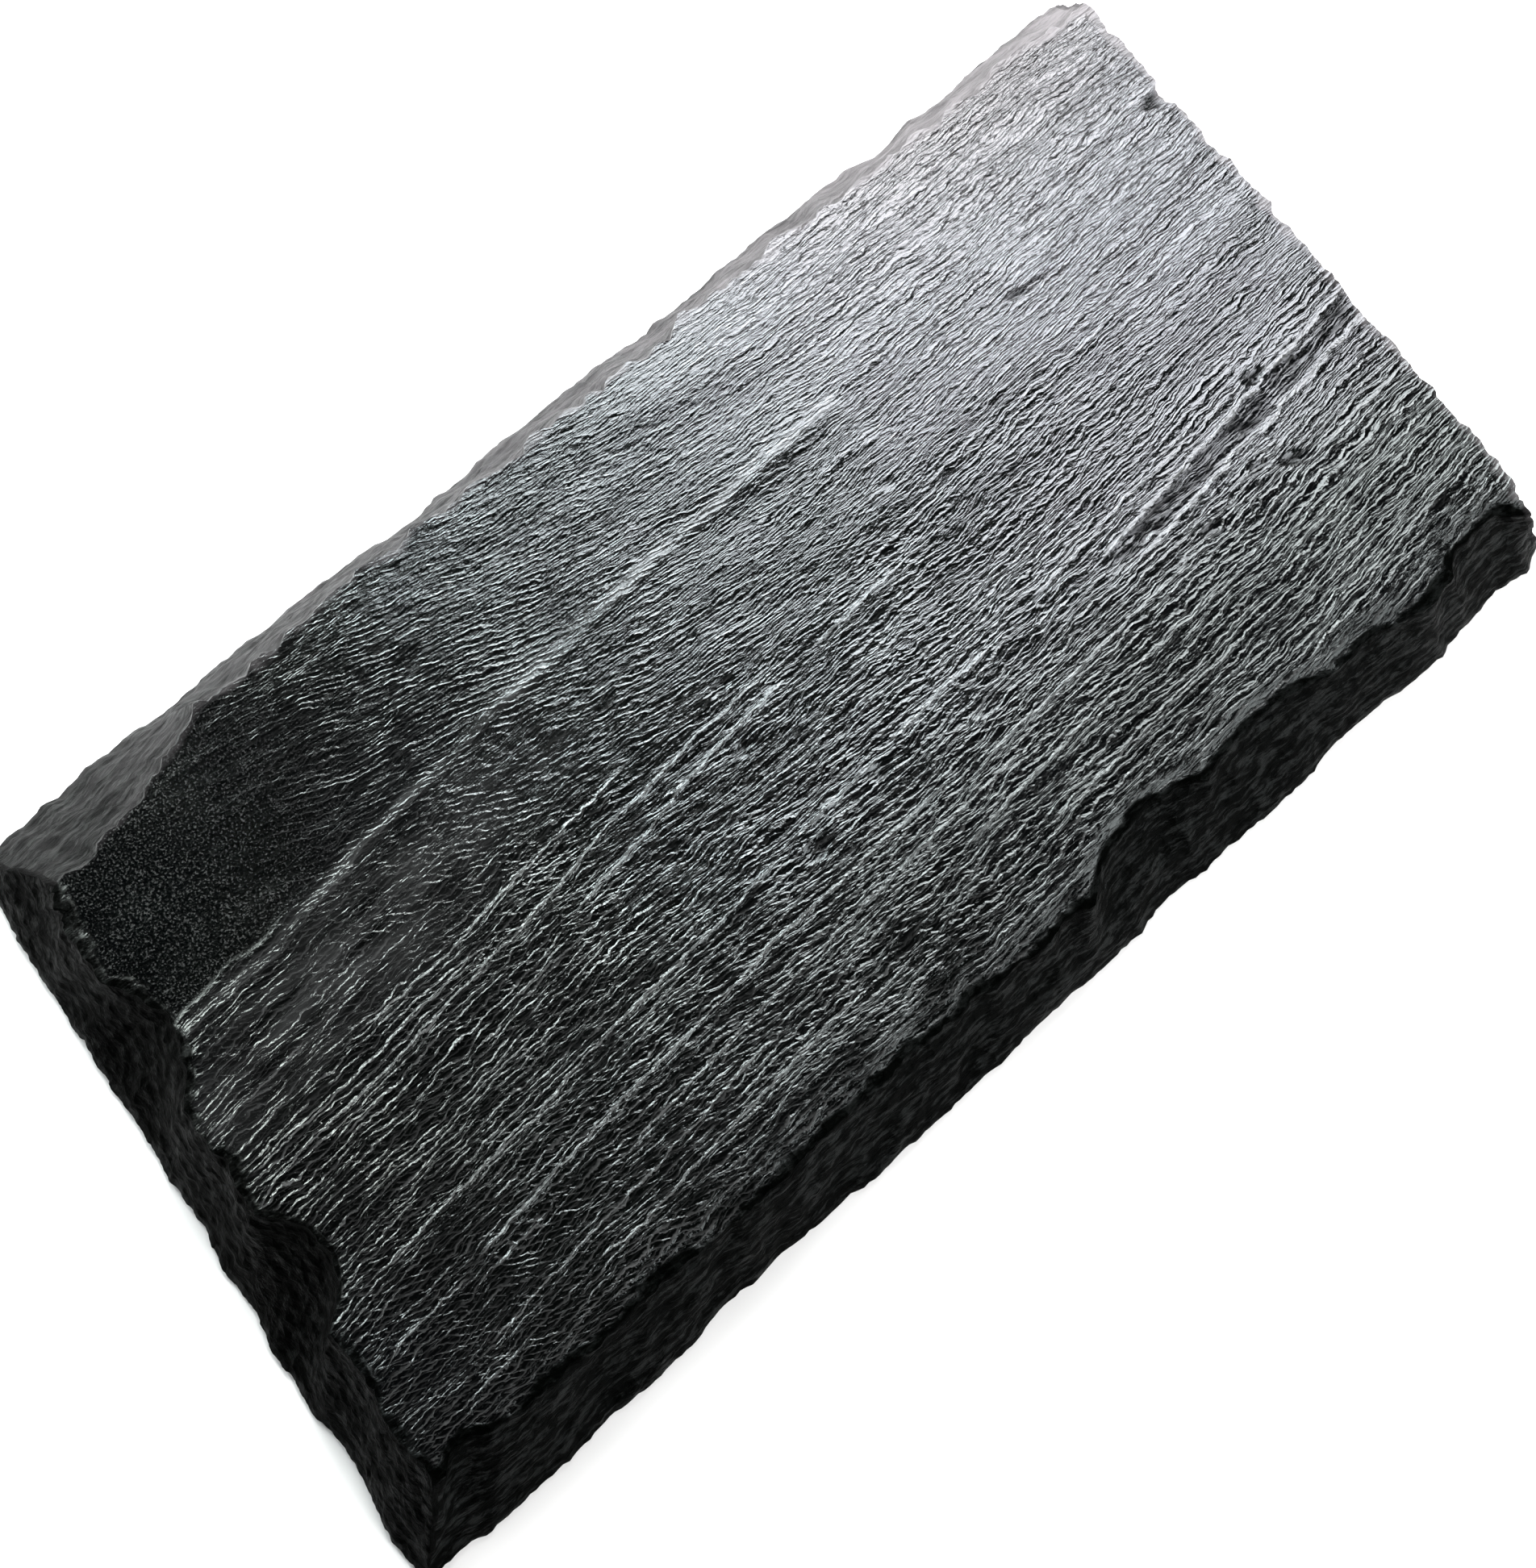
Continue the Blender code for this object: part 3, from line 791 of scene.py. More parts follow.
def split_share(x, y, u, v):
    """Share of split stone on the top face: 1, falling raggedly to 0 at the front and left rims."""
    ragged = noise_sum(x, y, SPLIT_RAGGED, 0.0014)
    distance = np.minimum(v * TOP_WIDTH, u * TOP_LENGTH)
    return smooth_step((distance - ragged) / 0.0008)


def under_relief(x, y, inward, settings):
    """Height of the underside over the plane that it rests on, never below it.

    The worn rim lifts as (1 - inward)^2, each hollow is a flat cap, and riven waves show only where
    they rise over the resting plane.
    """
    rim = 0.0007 * (1.0 - inward) ** 2 * noise_sum(x, y, UNDER_RIM, 1.0)
    riven = noise_sum(x, y + 0.17 * x, UNDER_WAVES)
    height = rim + settings.under_height * np.maximum(riven - 0.10, 0.0) * inward
    turn_x, turn_y = math.cos(HOLLOW_TURN), math.sin(HOLLOW_TURN)
    for centre_x, centre_y, half_length, half_width, depth in HOLLOWS:
        along = (x - centre_x) * turn_x + (y - centre_y) * turn_y
        across = (y - centre_y) * turn_x - (x - centre_x) * turn_y
        dip = np.maximum(0.0, cap(along, across, 0.0, 0.0, half_length, half_width))
        height = height + depth * dip * inward
    return height


def bells(x, y, least, places):
    """A least strength plus each bell times its own strength."""
    total = least
    for strength, *place in places:
        total = total + strength * bell(x, y, *place)
    return total


def hatch_share(x, y):
    """How strong the hatch is: full at the front left and behind the middle, faint at the right."""
    patchy = noise_sum(x, y, HATCH_PATCHES, 1.0)
    return np.clip(bells(x, y, HATCH_LEAST, HATCH_BELLS) * patchy, 0.1, 1.3)


def grain_share(x, y):
    """How strong the grain's lines are: full at the front right, faint behind the middle."""
    strength, start, span = GRAIN_FRONT
    front = strength * smooth_step((start - y) / span)
    strength, start, span_x, span_y = GRAIN_BACK_RIGHT
    back_right = strength * smooth_step((x - start) / span_x) * smooth_step(y / span_y)
    share = bells(x, y, GRAIN_LEAST + front, GRAIN_BELLS) + back_right
    patchy = noise_sum(x, y, GRAIN_PATCHES, 1.0)
    past_front, _ = past_route(x, y, FRONT_WALL)
    beside = bell(x, past_front, *BESIDE_WALL)
    return np.clip(share * patchy, 0.1, 1.5) * (1.0 - 0.65 * beside)


def calm_share(x, y):
    """0 over most of the slab, growing to 1 at the back right corner."""
    centre_x, centre_y, reach_x, reach_y = CALM_PLACE
    return smooth_step(1.0 - np.hypot((x - centre_x) / reach_x, (y - centre_y) / reach_y))


def sheen_tint(x, y):
    """Tint of the gloss: greenish at the left, bluish at the right, then cyan along the front.

    It is nearly white at the back right corner.
    """
    place = noise_sum(x, y, TINT_DRIFT, x)
    tint = np.column_stack([np.interp(place, TINT_PLACES, part) for part in np.transpose(TINTS)])
    front = smooth_step((-0.020 - y) / 0.030)[:, None]
    tint = tint + front * (np.array(FRONT_TINT) - tint)
    warm = bell(x, y, *WARM_PLACE)[:, None]
    return tint + warm * (np.array(WARM_TINT) - tint)


def dull_share(x, y):
    """How far the gloss is lost: in the trough and the pits, and a little at the front and left."""
    patchy = swell_noise(x / 0.0030, y / 0.0020, *DULL_SWELL)
    floor = DULL_FLOOR * trough_share(x, y, short=1.2 * TROUGH_CLIMB) * patchy
    strength, start, span = DULL_LEFT
    at_left = strength * smooth_step((start - x) / span)
    near_front = DULL_FRONT * bell(x, y, *DULL_FRONT_PLACE)
    dull = floor + pit_depth(x, y) / DULL_PIT + np.maximum(near_front, at_left)
    return np.clip(dull, 0.0, DULL_MOST)


def scuff_share(x, y):
    """Share of the worn colour on the streaks in front of the smooth patch and on its worn bevels.

    A bevel's wear is exp(-(distance from the middle of the rise / BEVEL_REACH)^2).
    """
    streaks = swell_noise(x / 0.016, (y - 0.12 * x) / 0.0032, *SCUFF_SWELL)
    in_front = bell(x, y - 0.17 * x, *SCUFF_PLACE)
    bevels = np.zeros_like(x)
    for (_, width, _, route), wear in zip(RISES, BEVEL_WEAR):
        past, share = past_route(x, y, route)
        worn = wear * share * np.exp(-(((past - 0.5 * width) / BEVEL_REACH) ** 2))
        bevels = np.maximum(bevels, worn)
    return SCUFF * streaks * in_front + bevels * np.clip(1.3 * streaks + 0.1, 0.25, 1.3)


def painted_light_growth(u):
    """How the painted light grows from PAINTED_LIGHT_LEAST at the left to 1 at the right, towards
    the lit back right corner.
    """
    return PAINTED_LIGHT_LEAST + (1.0 - PAINTED_LIGHT_LEAST) * u**1.2


def painted_light_rim(u, distance):
    """Share of painted light on the rim: scalloped, within PAINTED_LIGHT_REACH of the edge, growing
    with u.
    """
    scallops = line_noise(u * TOP_LENGTH, SCALLOPS)
    return smooth_step(1.0 + scallops - distance / PAINTED_LIGHT_REACH) * painted_light_growth(u)


def painted_light_side(u, level):
    """Share of painted light on the back side, growing with u and mottled along and down the side.
    """
    return noise_sum(u * TOP_LENGTH, level, PAINTED_LIGHT_MOTTLE, 0.85) * painted_light_growth(u)


def surface_marks(x, y, riven, settings):
    """Vertex values that the material reads.

    "grain" holds the distance along the grain, the rib phase and the share of split stone, and
    "hatch" the distances along and across the hatch and how strong it is. "edge" is the distance
    past the nearest rise, how strong that edge is, and how strong the grain is. "smooth" is the
    share of smooth stone, and "calm" grows towards the back right corner, where the relief is faint
    and the stone matt. "tint" colours the gloss, "dull" is how far the gloss is lost, and "scuff"
    is the share of the worn colour on streaks and bevels.
    """
    along, across = grain_place(x, y)
    _, nearest, weight = layer_edges(x, y)
    hatch_along, hatch_across = hatch_place(x, y)
    split = riven > 0.9
    return {
        "grain": np.column_stack([along, across / settings.rib_spacing, riven]),
        "hatch": np.column_stack(
            [hatch_along, hatch_across / settings.hatch_spacing, hatch_share(x, y)]
        ),
        "smooth": patch_share(x, y) * split,
        "calm": calm_share(x, y),
        "tint": sheen_tint(x, y),
        "scuff": scuff_share(x, y) * riven,
        "dull": dull_share(x, y) * split,
        "edge": np.column_stack([nearest, weight * split, grain_share(x, y)]),
    }


def slab_marks(points, top_u, top_v, side_u, side_v, level, settings):
    """The surface's marks, and those that follow the faces instead of the plan.

    "pale" is the share of painted light, strongest towards the back right corner, on the back and
    right rims and sides, and "ends" is 1 on the left and right sides. The front rim loses its gloss
    as (1 - distance / reach)^0.8.
    """
    top_count, side_count = len(top_u), len(side_u)
    under = np.zeros(len(points) - top_count - side_count)
    at_left, at_right, at_back = side_u < 0.001, side_u > 0.999, side_v > 0.999
    on_top = split_share(points[:top_count, 0], points[:top_count, 1], top_u, top_v)
    on_back = at_back * smooth_step(side_u / 0.01) * (0.5 + 0.9 * side_u)
    riven = np.concatenate([on_top, BACK_SPLIT * on_back, under + 0.5])
    marks = surface_marks(points[:, 0], points[:, 1], riven, settings)

    # Painted light on the back and right rims and sides, growing towards the back right corner.
    back_rim = painted_light_rim(top_u, (1.0 - top_v) * TOP_WIDTH)
    right_rim = RIGHT_PAINTED_LIGHT * painted_light_rim(0.5 + 0.5 * top_v, (1.0 - top_u) * TOP_LENGTH)
    back_side = painted_light_side(side_u, level) * at_back
    right_side = RIGHT_PAINTED_LIGHT * painted_light_rim(0.5 + 0.5 * side_v, 0.0) * at_right
    marks["pale"] = np.concatenate(
        [np.maximum(back_rim, right_rim), np.maximum(back_side, right_side), under]
    )
    marks["ends"] = np.concatenate([np.zeros(top_count), at_left | at_right, under])
    worn = np.clip(1.0 - top_v * TOP_WIDTH / RIM_REACH, 0.0, 1.0)
    marks["dull"][:top_count] = np.maximum(marks["dull"][:top_count], RIM_DULL * worn**0.8)
    return marks


def grid_places(columns, rows, inset_u=0.0, inset_v=0.0):
    """u and v of a grid's points, which run along its columns first."""
    v, u = np.meshgrid(
        np.linspace(inset_v, 1.0 - inset_v, rows + 1),
        np.linspace(inset_u, 1.0 - inset_u, columns + 1),
        indexing="ij",
    )
    return u.ravel(), v.ravel()


def grid_triangles(columns, rows, flip=False):
    """Two triangles for each cell of a grid whose points run along its columns first."""
    column, row = np.meshgrid(np.arange(columns), np.arange(rows), indexing="ij")
    near = (row * (columns + 1) + column).ravel()
    right, far = near + 1, near + columns + 1
    first = np.stack([near, right, far], axis=-1)
    second = np.stack([right, far + 1, far], axis=-1)
    triangles = np.concatenate([first, second])
    return triangles[:, ::-1] if flip else triangles


def ring_triangles(rings):
    """Two triangles for each cell between one closed ring of points and the next below it."""
    upper, lower = rings[:-1], rings[1:]
    upper_next, lower_next = np.roll(upper, -1, axis=1), np.roll(lower, -1, axis=1)
    first = np.stack([upper, lower, lower_next], axis=-1).reshape(-1, 3)
    second = np.stack([upper, lower_next, upper_next], axis=-1).reshape(-1, 3)
    return np.concatenate([first, second])


def rim_indices(columns, rows):
    """Indices of a grid's rim, anticlockwise from its front left corner."""
    width = columns + 1
    front = np.arange(columns)
    right = columns + width * np.arange(rows)
    back = width * rows + columns - np.arange(columns)
    left = width * (rows - np.arange(rows))
    return np.concatenate([front, right, back, left])


def rim_places(columns, rows):
    """How far round its rim each point stands, as 0 to 4 with a whole number at each corner."""
    along, across = np.arange(columns) / columns, np.arange(rows) / rows
    return np.concatenate([along, 1.0 + across, 2.0 + along, 3.0 + across])


def join_rims(outer, outer_places, inner, inner_places):
    """Triangles, facing down, between two rims with unlike numbers of points.

    The points of both rims are taken in the order of their places. Each one makes a triangle with
    the last point of its own rim and the last point of the other.
    """
    places = np.concatenate([outer_places[1:], [4.0], inner_places[1:], [4.0]])
    is_outer = np.concatenate([np.ones(len(outer), bool), np.zeros(len(inner), bool)])
    is_outer = is_outer[np.argsort(places, kind="stable")]
    outer_after, inner_after = np.cumsum(is_outer), np.cumsum(~is_outer)
    first = outer[(outer_after - is_outer) % len(outer)]
    second = inner[(inner_after - ~is_outer) % len(inner)]
    third = np.where(is_outer, outer[outer_after % len(outer)], inner[inner_after % len(inner)])
    return np.stack([first, second, third], axis=-1)


def top_points(u, v, settings):
    """Points of the riven top face: the mean plane, its relief and the fall of the worn rims."""
    plan = plan_position(u, v, np.zeros_like(u), settings)
    height = CAD_LOW[2] + settings.thickness + top_relief(plan[:, 0], plan[:, 1], settings)
    return np.column_stack([plan, height - rim_fall(plan[:, 0], plan[:, 1], u, v)])


def side_points(u, v, level, rim_height, settings):
    """Points of the dressed sides: rim height * (1 - t) + lift of the foot * t."""
    plan = plan_position(u, v, level, settings)
    foot_lift = under_relief(plan[:, 0], plan[:, 1], 0.0, settings)
    return np.column_stack([plan, rim_height * (1.0 - level) + foot_lift * level])


def under_points(u, v, settings):
    """Points of the underside, whose relief grows inwards over UNDER_EASE."""
    plan = plan_position(u, v, np.ones_like(u), settings)
    edge_u, edge_v = np.minimum(u, 1.0 - u) * TOP_LENGTH, np.minimum(v, 1.0 - v) * TOP_WIDTH
    inward = smooth_step((np.minimum(edge_u, edge_v) - UNDER_INSET) / UNDER_EASE)
    return np.column_stack([plan, under_relief(plan[:, 0], plan[:, 1], inward, settings)])


def slab_surface(settings):
    """Points, triangles, vertex values and rim points of the whole closed slab.

    The top face is a grid in (u, v). Its rim is carried down the sides in levels of t, each lower
    and further out. The underside is a coarser grid inside the foot, joined to the foot's rim. The
    whole is then set on the CAD box's floor and in the middle of its plan.
    """
    columns, rows = TOP_CELLS
    top_u, top_v = grid_places(columns, rows)
    top = top_points(top_u, top_v, settings)

    rim = rim_indices(columns, rows)
    levels = (np.arange(1, SIDE_LEVELS + 1) / SIDE_LEVELS) ** SIDE_CROWDING
    level = np.repeat(levels, len(rim))
    side_u, side_v, rim_height = (
        np.tile(part[rim], SIDE_LEVELS) for part in (top_u, top_v, top[:, 2])
    )
    sides = side_points(side_u, side_v, level, rim_height, settings)
    rings = np.concatenate([rim, len(top) + np.arange(len(sides))]).reshape(-1, len(rim))

    inset = UNDER_INSET / TOP_LENGTH, UNDER_INSET / TOP_WIDTH
    under = under_points(*grid_places(*UNDER_CELLS, *inset), settings)
    start = len(top) + len(sides)
    inner = rim_indices(*UNDER_CELLS) + start

    points = np.concatenate([top, sides, under])
    triangles = np.concatenate([
        grid_triangles(columns, rows),
        ring_triangles(rings),
        grid_triangles(*UNDER_CELLS, flip=True) + start,
        join_rims(rings[-1], rim_places(columns, rows), inner, rim_places(*UNDER_CELLS)),
    ])
    marks = slab_marks(points, top_u, top_v, side_u, side_v, level, settings)
    points[:, 2] -= points[:, 2].min() - CAD_LOW[2]
    for axis in (0, 1):
        middle = (points[:, axis].min() + points[:, axis].max()) / 2.0
        points[:, axis] += (CAD_LOW[axis] + CAD_HIGH[axis]) / 2.0 - middle
    return points, triangles, marks, rim


def mesh_object(name, points, triangles, marks=None, corner_line=None):
    """A smooth-shaded mesh object made from arrays of points, triangles and vertex values.

    Edges between two points of the corner line stay sharp.
    """
    mesh = bpy.data.meshes.new(name)
    mesh.vertices.add(len(points))
    mesh.vertices.foreach_set("co", points.astype(np.float32).ravel())
    mesh.loops.add(triangles.size)
    mesh.loops.foreach_set("vertex_index", triangles.astype(np.int32).ravel())
    mesh.polygons.add(len(triangles))
    mesh.polygons.foreach_set("loop_start", np.arange(0, triangles.size, 3, dtype=np.int32))
    mesh.update(calc_edges=True)
    mesh.validate()
    mesh.shade_smooth()
    if corner_line is not None:
        on_line = np.zeros(len(points), bool)
        on_line[corner_line] = True
        ends = np.empty(2 * len(mesh.edges), np.int32)
        mesh.edges.foreach_get("vertices", ends)
        mesh.edges.foreach_set("use_edge_sharp", on_line[ends.reshape(-1, 2)].all(axis=1))
    for mark, values in (marks or {}).items():
        kind, field = ("FLOAT_VECTOR", "vector") if values.ndim == 2 else ("FLOAT", "value")
        attribute = mesh.attributes.new(mark, kind, "POINT")
        attribute.data.foreach_set(field, values.astype(np.float32).ravel())
    piece = bpy.data.objects.new(name, mesh)
    bpy.context.scene.collection.objects.link(piece)
    return piece


class Value:
    """A number in a material's nodes. Arithmetic on it adds Math nodes."""

    def __init__(self, bench, socket):
        self.bench = bench
        self.socket = socket

    def __add__(self, other):
        return self.bench.math("ADD", self, other)

    def __sub__(self, other):
        return self.bench.math("SUBTRACT", self, other)

    def __rsub__(self, other):
        return self.bench.math("SUBTRACT", other, self)

    def __mul__(self, other):
        return self.bench.math("MULTIPLY", self, other)

    def __truediv__(self, other):
        return self.bench.math("DIVIDE", self, other)

    def at_least(self, other):
        return self.bench.math("MAXIMUM", self, other)

    def at_most(self, other):
        return self.bench.math("MINIMUM", self, other)

    def times_plus(self, factor, addend):
        return self.bench.math("MULTIPLY_ADD", self, factor, addend)

    def spread(self, low, high, to_low=0.0, to_high=1.0):
        """The value's way from low to high, as a way from to_low to to_high, clipped at both."""
        names = ("From Min", "From Max", "To Min", "To Max")
        inputs = {"Value": self, **dict(zip(names, (low, high, to_low, to_high)))}
        return Value(self.bench, self.bench.add("ShaderNodeMapRange", inputs).outputs["Result"])


class NodeBench:
    """Adds and links the nodes of one material."""

    def __init__(self, name):
        self.material = bpy.data.materials.new(name)
        self.material.use_nodes = True
        self.tree = self.material.node_tree
        self.surface = self.tree.nodes["Principled BSDF"]

    def add(self, kind, inputs=None, **settings):
        node = self.tree.nodes.new(kind)
        for key, value in settings.items():
            setattr(node, key, value)
        for key, value in (inputs or {}).items():
            self.feed(node.inputs[key], value)
        return node

    def feed(self, socket, value):
        if isinstance(value, Value):
            value = value.socket
        if isinstance(value, bpy.types.NodeSocket):
            self.tree.links.new(value, socket)
        else:
            socket.default_value = value

    def finish(self, name, value):
        """Feeds one input of the material's shader."""
        self.feed(self.surface.inputs[name], value)

    def math(self, operation, *values):
        node = self.add("ShaderNodeMath", operation=operation)
        for socket, value in zip(node.inputs, values):
            self.feed(socket, value)
        return Value(self, node.outputs["Value"])

    def mark(self, name, field="Vector"):
        """A vertex value of the surface, as a vector or a colour."""
        return self.add("ShaderNodeAttribute", attribute_name=name).outputs[field]

    def share(self, name):
        """A vertex value of the surface, as a number."""
        return Value(self, self.mark(name, "Fac"))

    def parts(self, vector):
        """The three numbers of a vector."""
        outputs = self.add("ShaderNodeSeparateXYZ", {"Vector": vector}).outputs
        return [Value(self, outputs[axis]) for axis in "XYZ"]

    def times(self, vector, factors):
        node = self.add("ShaderNodeVectorMath", operation="MULTIPLY")
        self.feed(node.inputs[0], vector)
        self.feed(node.inputs[1], factors)
        return node.outputs["Vector"]

    def noise(self, vector, scale=1.0, detail=3.0, roughness=0.5):
        inputs = {"Vector": vector, "Scale": scale, "Detail": detail, "Roughness": roughness}
        return Value(self, self.add("ShaderNodeTexNoise", inputs).outputs["Fac"])

    def mix(self, factor, low, high):
        # The Mix node names its colour sockets like its number sockets, so they are taken by place.
        node = self.add("ShaderNodeMix", {"Factor": factor}, data_type="RGBA")
        self.feed(node.inputs[6], low)
        self.feed(node.inputs[7], high)
        return node.outputs[2]

    def ramp(self, factor, stops):
        node = self.add("ShaderNodeValToRGB", {"Fac": factor})
        elements = node.color_ramp.elements
        while len(elements) < len(stops):
            elements.new(0.5)
        for element, (position, colour) in zip(elements, stops):
            element.position = position
            element.color = (*colour, 1.0)
        return node.outputs["Color"]

    def stretched(self, scale):
        """Object coordinates, scaled along each axis."""
        place = self.add("ShaderNodeTexCoord").outputs["Object"]
        return self.add("ShaderNodeMapping", {"Vector": place, "Scale": scale}).outputs["Vector"]


def fine_lines(bench, mark, lines, shift=None, density=1.0):
    """Height, lit crest and shaded foot of one family of fine ridges, and each line's number.

    The mark holds the distance along the lines and their phase, which a noise makes jagged. In each
    turn the ridge climbs over `climb` and falls back over `fall`, and the rest is flat. Each line
    has its own noise along it, so that some lines stand out and some fade. A shift moves the phase,
    and a density sets the lines closer than the mesh's ribs.
    """
    climb, fall, jag_reach, jag_size, length, faint, strong = lines
    place = bench.mark(mark)
    along, across, _ = bench.parts(place)
    jag = bench.noise(bench.times(place, (1.0 / jag_reach, 0.55, 0.0)), roughness=0.55)
    phase = jag.times_plus(jag_size, across * density)
    if shift is not None:
        phase = phase + shift
    turn, number = bench.math("FRACT", phase), bench.math("FLOOR", phase)
    rising = turn.spread(0.0, climb)
    falling = turn.spread(climb, climb + fall, 1.0, 0.0)
    line_place = {"X": along / length, "Y": number * LINE_STRIDE}
    line_place = bench.add("ShaderNodeCombineXYZ", line_place).outputs["Vector"]
    strength = bench.noise(line_place, roughness=0.6).spread(faint, strong, 0.15, 1.30)
    ridge = rising.at_most(falling)
    lit = turn.spread(climb - 0.04, climb + 0.04) * falling
    foot = rising * turn.spread(0.6 * climb, climb, 1.0, 0.0)
    return [part * strength for part in (ridge, lit, foot)], number


def rise_edges(bench):
    """Height of the sharp edges that finish the mesh's rises, and their crest, partly worn stone
    and partly a painted highlight.

    The distance past the crest is made jagged by noise. The height climbs over EDGE_WIDTH up to the
    crest, drops a little lower than it began over the same width and then comes back.
    """
    past_crest, strength, _ = bench.parts(bench.mark("edge"))
    jag = bench.noise(bench.times(bench.mark("grain"), (1.0 / 0.0030, 0.7, 0.0)), roughness=0.65)
    past = (jag - 0.5).times_plus(0.0014, past_crest)
    climb = past.spread(-EDGE_WIDTH, 0.0)
    drop = past.spread(0.1 * EDGE_WIDTH, 1.1 * EDGE_WIDTH, 0.0, 1.3)
    back = past.spread(1.1 * EDGE_WIDTH, 3.2 * EDGE_WIDTH, 0.0, 0.3)
    height = climb - drop + back
    near = past.spread(-0.8 * EDGE_WIDTH, -0.4 * EDGE_WIDTH)
    far = past.spread(-0.1 * EDGE_WIDTH, 0.2 * EDGE_WIDTH, 1.0, 0.0)
    return height * strength, near * far * (strength * CREST_GAIN)


class SlatePattern:
    """What the colour, gloss, roughness and relief of the slate share: marks, lines and noises."""

    def __init__(self, bench):
        self.grain = bench.mark("grain")
        _, _, self.riven = bench.parts(self.grain)
        _, _, hatch_strength = bench.parts(bench.mark("hatch"))
        _, _, grain_strength = bench.parts(bench.mark("edge"))
        self.broken = 1.0 - self.riven
        self.smooth = bench.share("smooth")
        self.calm = bench.share("calm")
        self.ends = bench.share("ends")
        self.split = (1.0 - self.smooth) * self.riven

        grain_lines, number = fine_lines(bench, "grain", GRAIN_LINES)
        # Between two lines of the grain the hatch has its own shift, so it breaks at each line.
        shift = bench.add("ShaderNodeTexWhiteNoise", {"W": number}, noise_dimensions="1D")
        shift = Value(bench, shift.outputs["Value"]) * grain_strength.at_most(1.0)
        hatch_lines, _ = fine_lines(bench, "hatch", HATCH_LINES, shift)
        thin_lines, _ = fine_lines(bench, "grain", THIN_LINES, density=THIN_DENSITY)
        grain_ridge, grain_lit, grain_foot = (part * grain_strength for part in grain_lines)
        hatch_ridge, hatch_lit, hatch_foot = (part * hatch_strength for part in hatch_lines)
        thin_ridge, thin_lit, thin_foot = thin_lines
        self.ridges = grain_ridge, hatch_ridge, thin_ridge
        self.edge_height, edge_crest = rise_edges(bench)
        # The lines' and edges' lit crests, painted into the colour as highlights over partly worn
        # stone.
        self.lit = grain_lit.at_least(edge_crest).at_least(hatch_lit * HATCH_CREST)
        self.lit = self.lit.at_least(thin_lit * THIN_CREST)
        foot = grain_foot.at_least(hatch_foot).at_least(thin_foot * THIN_FOOT)
        self.foot = (foot * FOOT_GAIN).at_most(1.0)

        self.sand = bench.noise(bench.stretched((1.0, 1.0, 1.0)), SAND_SCALE, roughness=0.70)
        cracks = bench.noise(bench.times(self.grain, (1.0 / 0.0026, 2.8, 0.0)), roughness=0.6)
        self.cracks = cracks.spread(0.60, 0.66) * (self.split * self.calm.spread(0.0, 0.8, 0.2))
        # The leaves run along each side, so the front and back share one pattern, the ends another.
        long_way, short_way = (bench.stretched(scale) for scale in LEAF_STRETCH)
        leaf_place = bench.mix(self.ends, long_way, short_way)
        self.leaves = bench.noise(leaf_place, LEAF_SCALE, 4.0, 0.66)
        self.chipped = bench.noise(leaf_place, CHIP_SCALE, 5.0, 0.72)
        self.bare = self.chipped.spread(0.49, 0.60) * self.ends.times_plus(-0.55, 1.0)
        # The painted light is streaked along the leaves, strongly at the left, faintly at the
        # right, and darkened with painted shade in the feet of the lines.
        streaks = bench.noise(bench.stretched(STREAK_STRETCH), CHIP_SCALE, 5.0, 0.66)
        streaks = streaks.spread(0.40, 0.60) * self.calm.times_plus(-0.65, 0.9)
        pale = bench.share("pale") * (self.calm.times_plus(0.5, 0.3) + streaks)
        self.pale = pale * self.foot.times_plus(-0.45, 1.0)


def slate_colour(bench, look, pattern):
    """The drifting dark stone with its crests lightened as wear and painted highlight, then the
    broken sides and the painted light on the back and right.
    """
    drift = bench.noise(bench.stretched((1.0, 1.0, 1.0)), DRIFT_SCALE)
    colours = (look.green_colour, look.base_colour, look.blue_colour)
    base = bench.ramp(drift, [(stop, tuple(part)) for stop, part in zip(DRIFT_STOPS, colours)])
    # Lighter crests, partly worn stone and partly painted highlights; few in the calm corner, where
    # the broad highlight lies.
    wear = pattern.calm.spread(0.0, 0.6, look.crest_wear_highlight_share, 0.1 * look.crest_wear_highlight_share)
    worn = pattern.lit.at_most(1.0) * (pattern.split * wear)
    # Grey specks on the smooth patch: partly grain colour, partly painted glints.
    speck = pattern.sand.spread(0.57, 0.66, 0.0, look.sand_speck_glint_share) * pattern.smooth.spread(0.0, 0.45)
    wear_and_highlight_share = worn + speck + bench.share("scuff")
    stone = bench.mix(wear_and_highlight_share, base, (*look.crest_wear_highlight_colour, 1.0))
    side = bench.mix(pattern.bare, (*look.side_colour, 1.0), (*look.leaf_colour, 1.0))
    dressed = bench.mix(pattern.riven, side, stone)
    # Painted light over the back and right rims and sides.
    return bench.mix(pattern.pale, dressed, (*look.painted_light_colour, 1.0))


def slate_gloss(bench, look, pattern):
    """Full gloss on split stone, lost in cracks, sand, the lines' feet and the dull places."""
    side_gloss = pattern.bare.times_plus(look.leaf_gloss, look.side_gloss)
    dashes = (pattern.chipped.spread(0.42, 0.60, 0.25, 1.25) - 1.0) * pattern.broken
    gloss = side_gloss + (0.5 - side_gloss) * pattern.riven * (dashes + 1.0)
    gloss = gloss * pattern.cracks.times_plus(-0.85, 1.0)
    gloss = gloss * pattern.calm.times_plus(0.30, 1.0)
    gloss = gloss * (1.0 - bench.share("dull"))
    gloss = gloss * (1.0 - pattern.smooth * pattern.sand.spread(0.54, 0.66, 0.95, 0.2))
    return gloss * (pattern.foot * pattern.split).spread(0.0, 1.0, 1.0, look.groove_gloss)


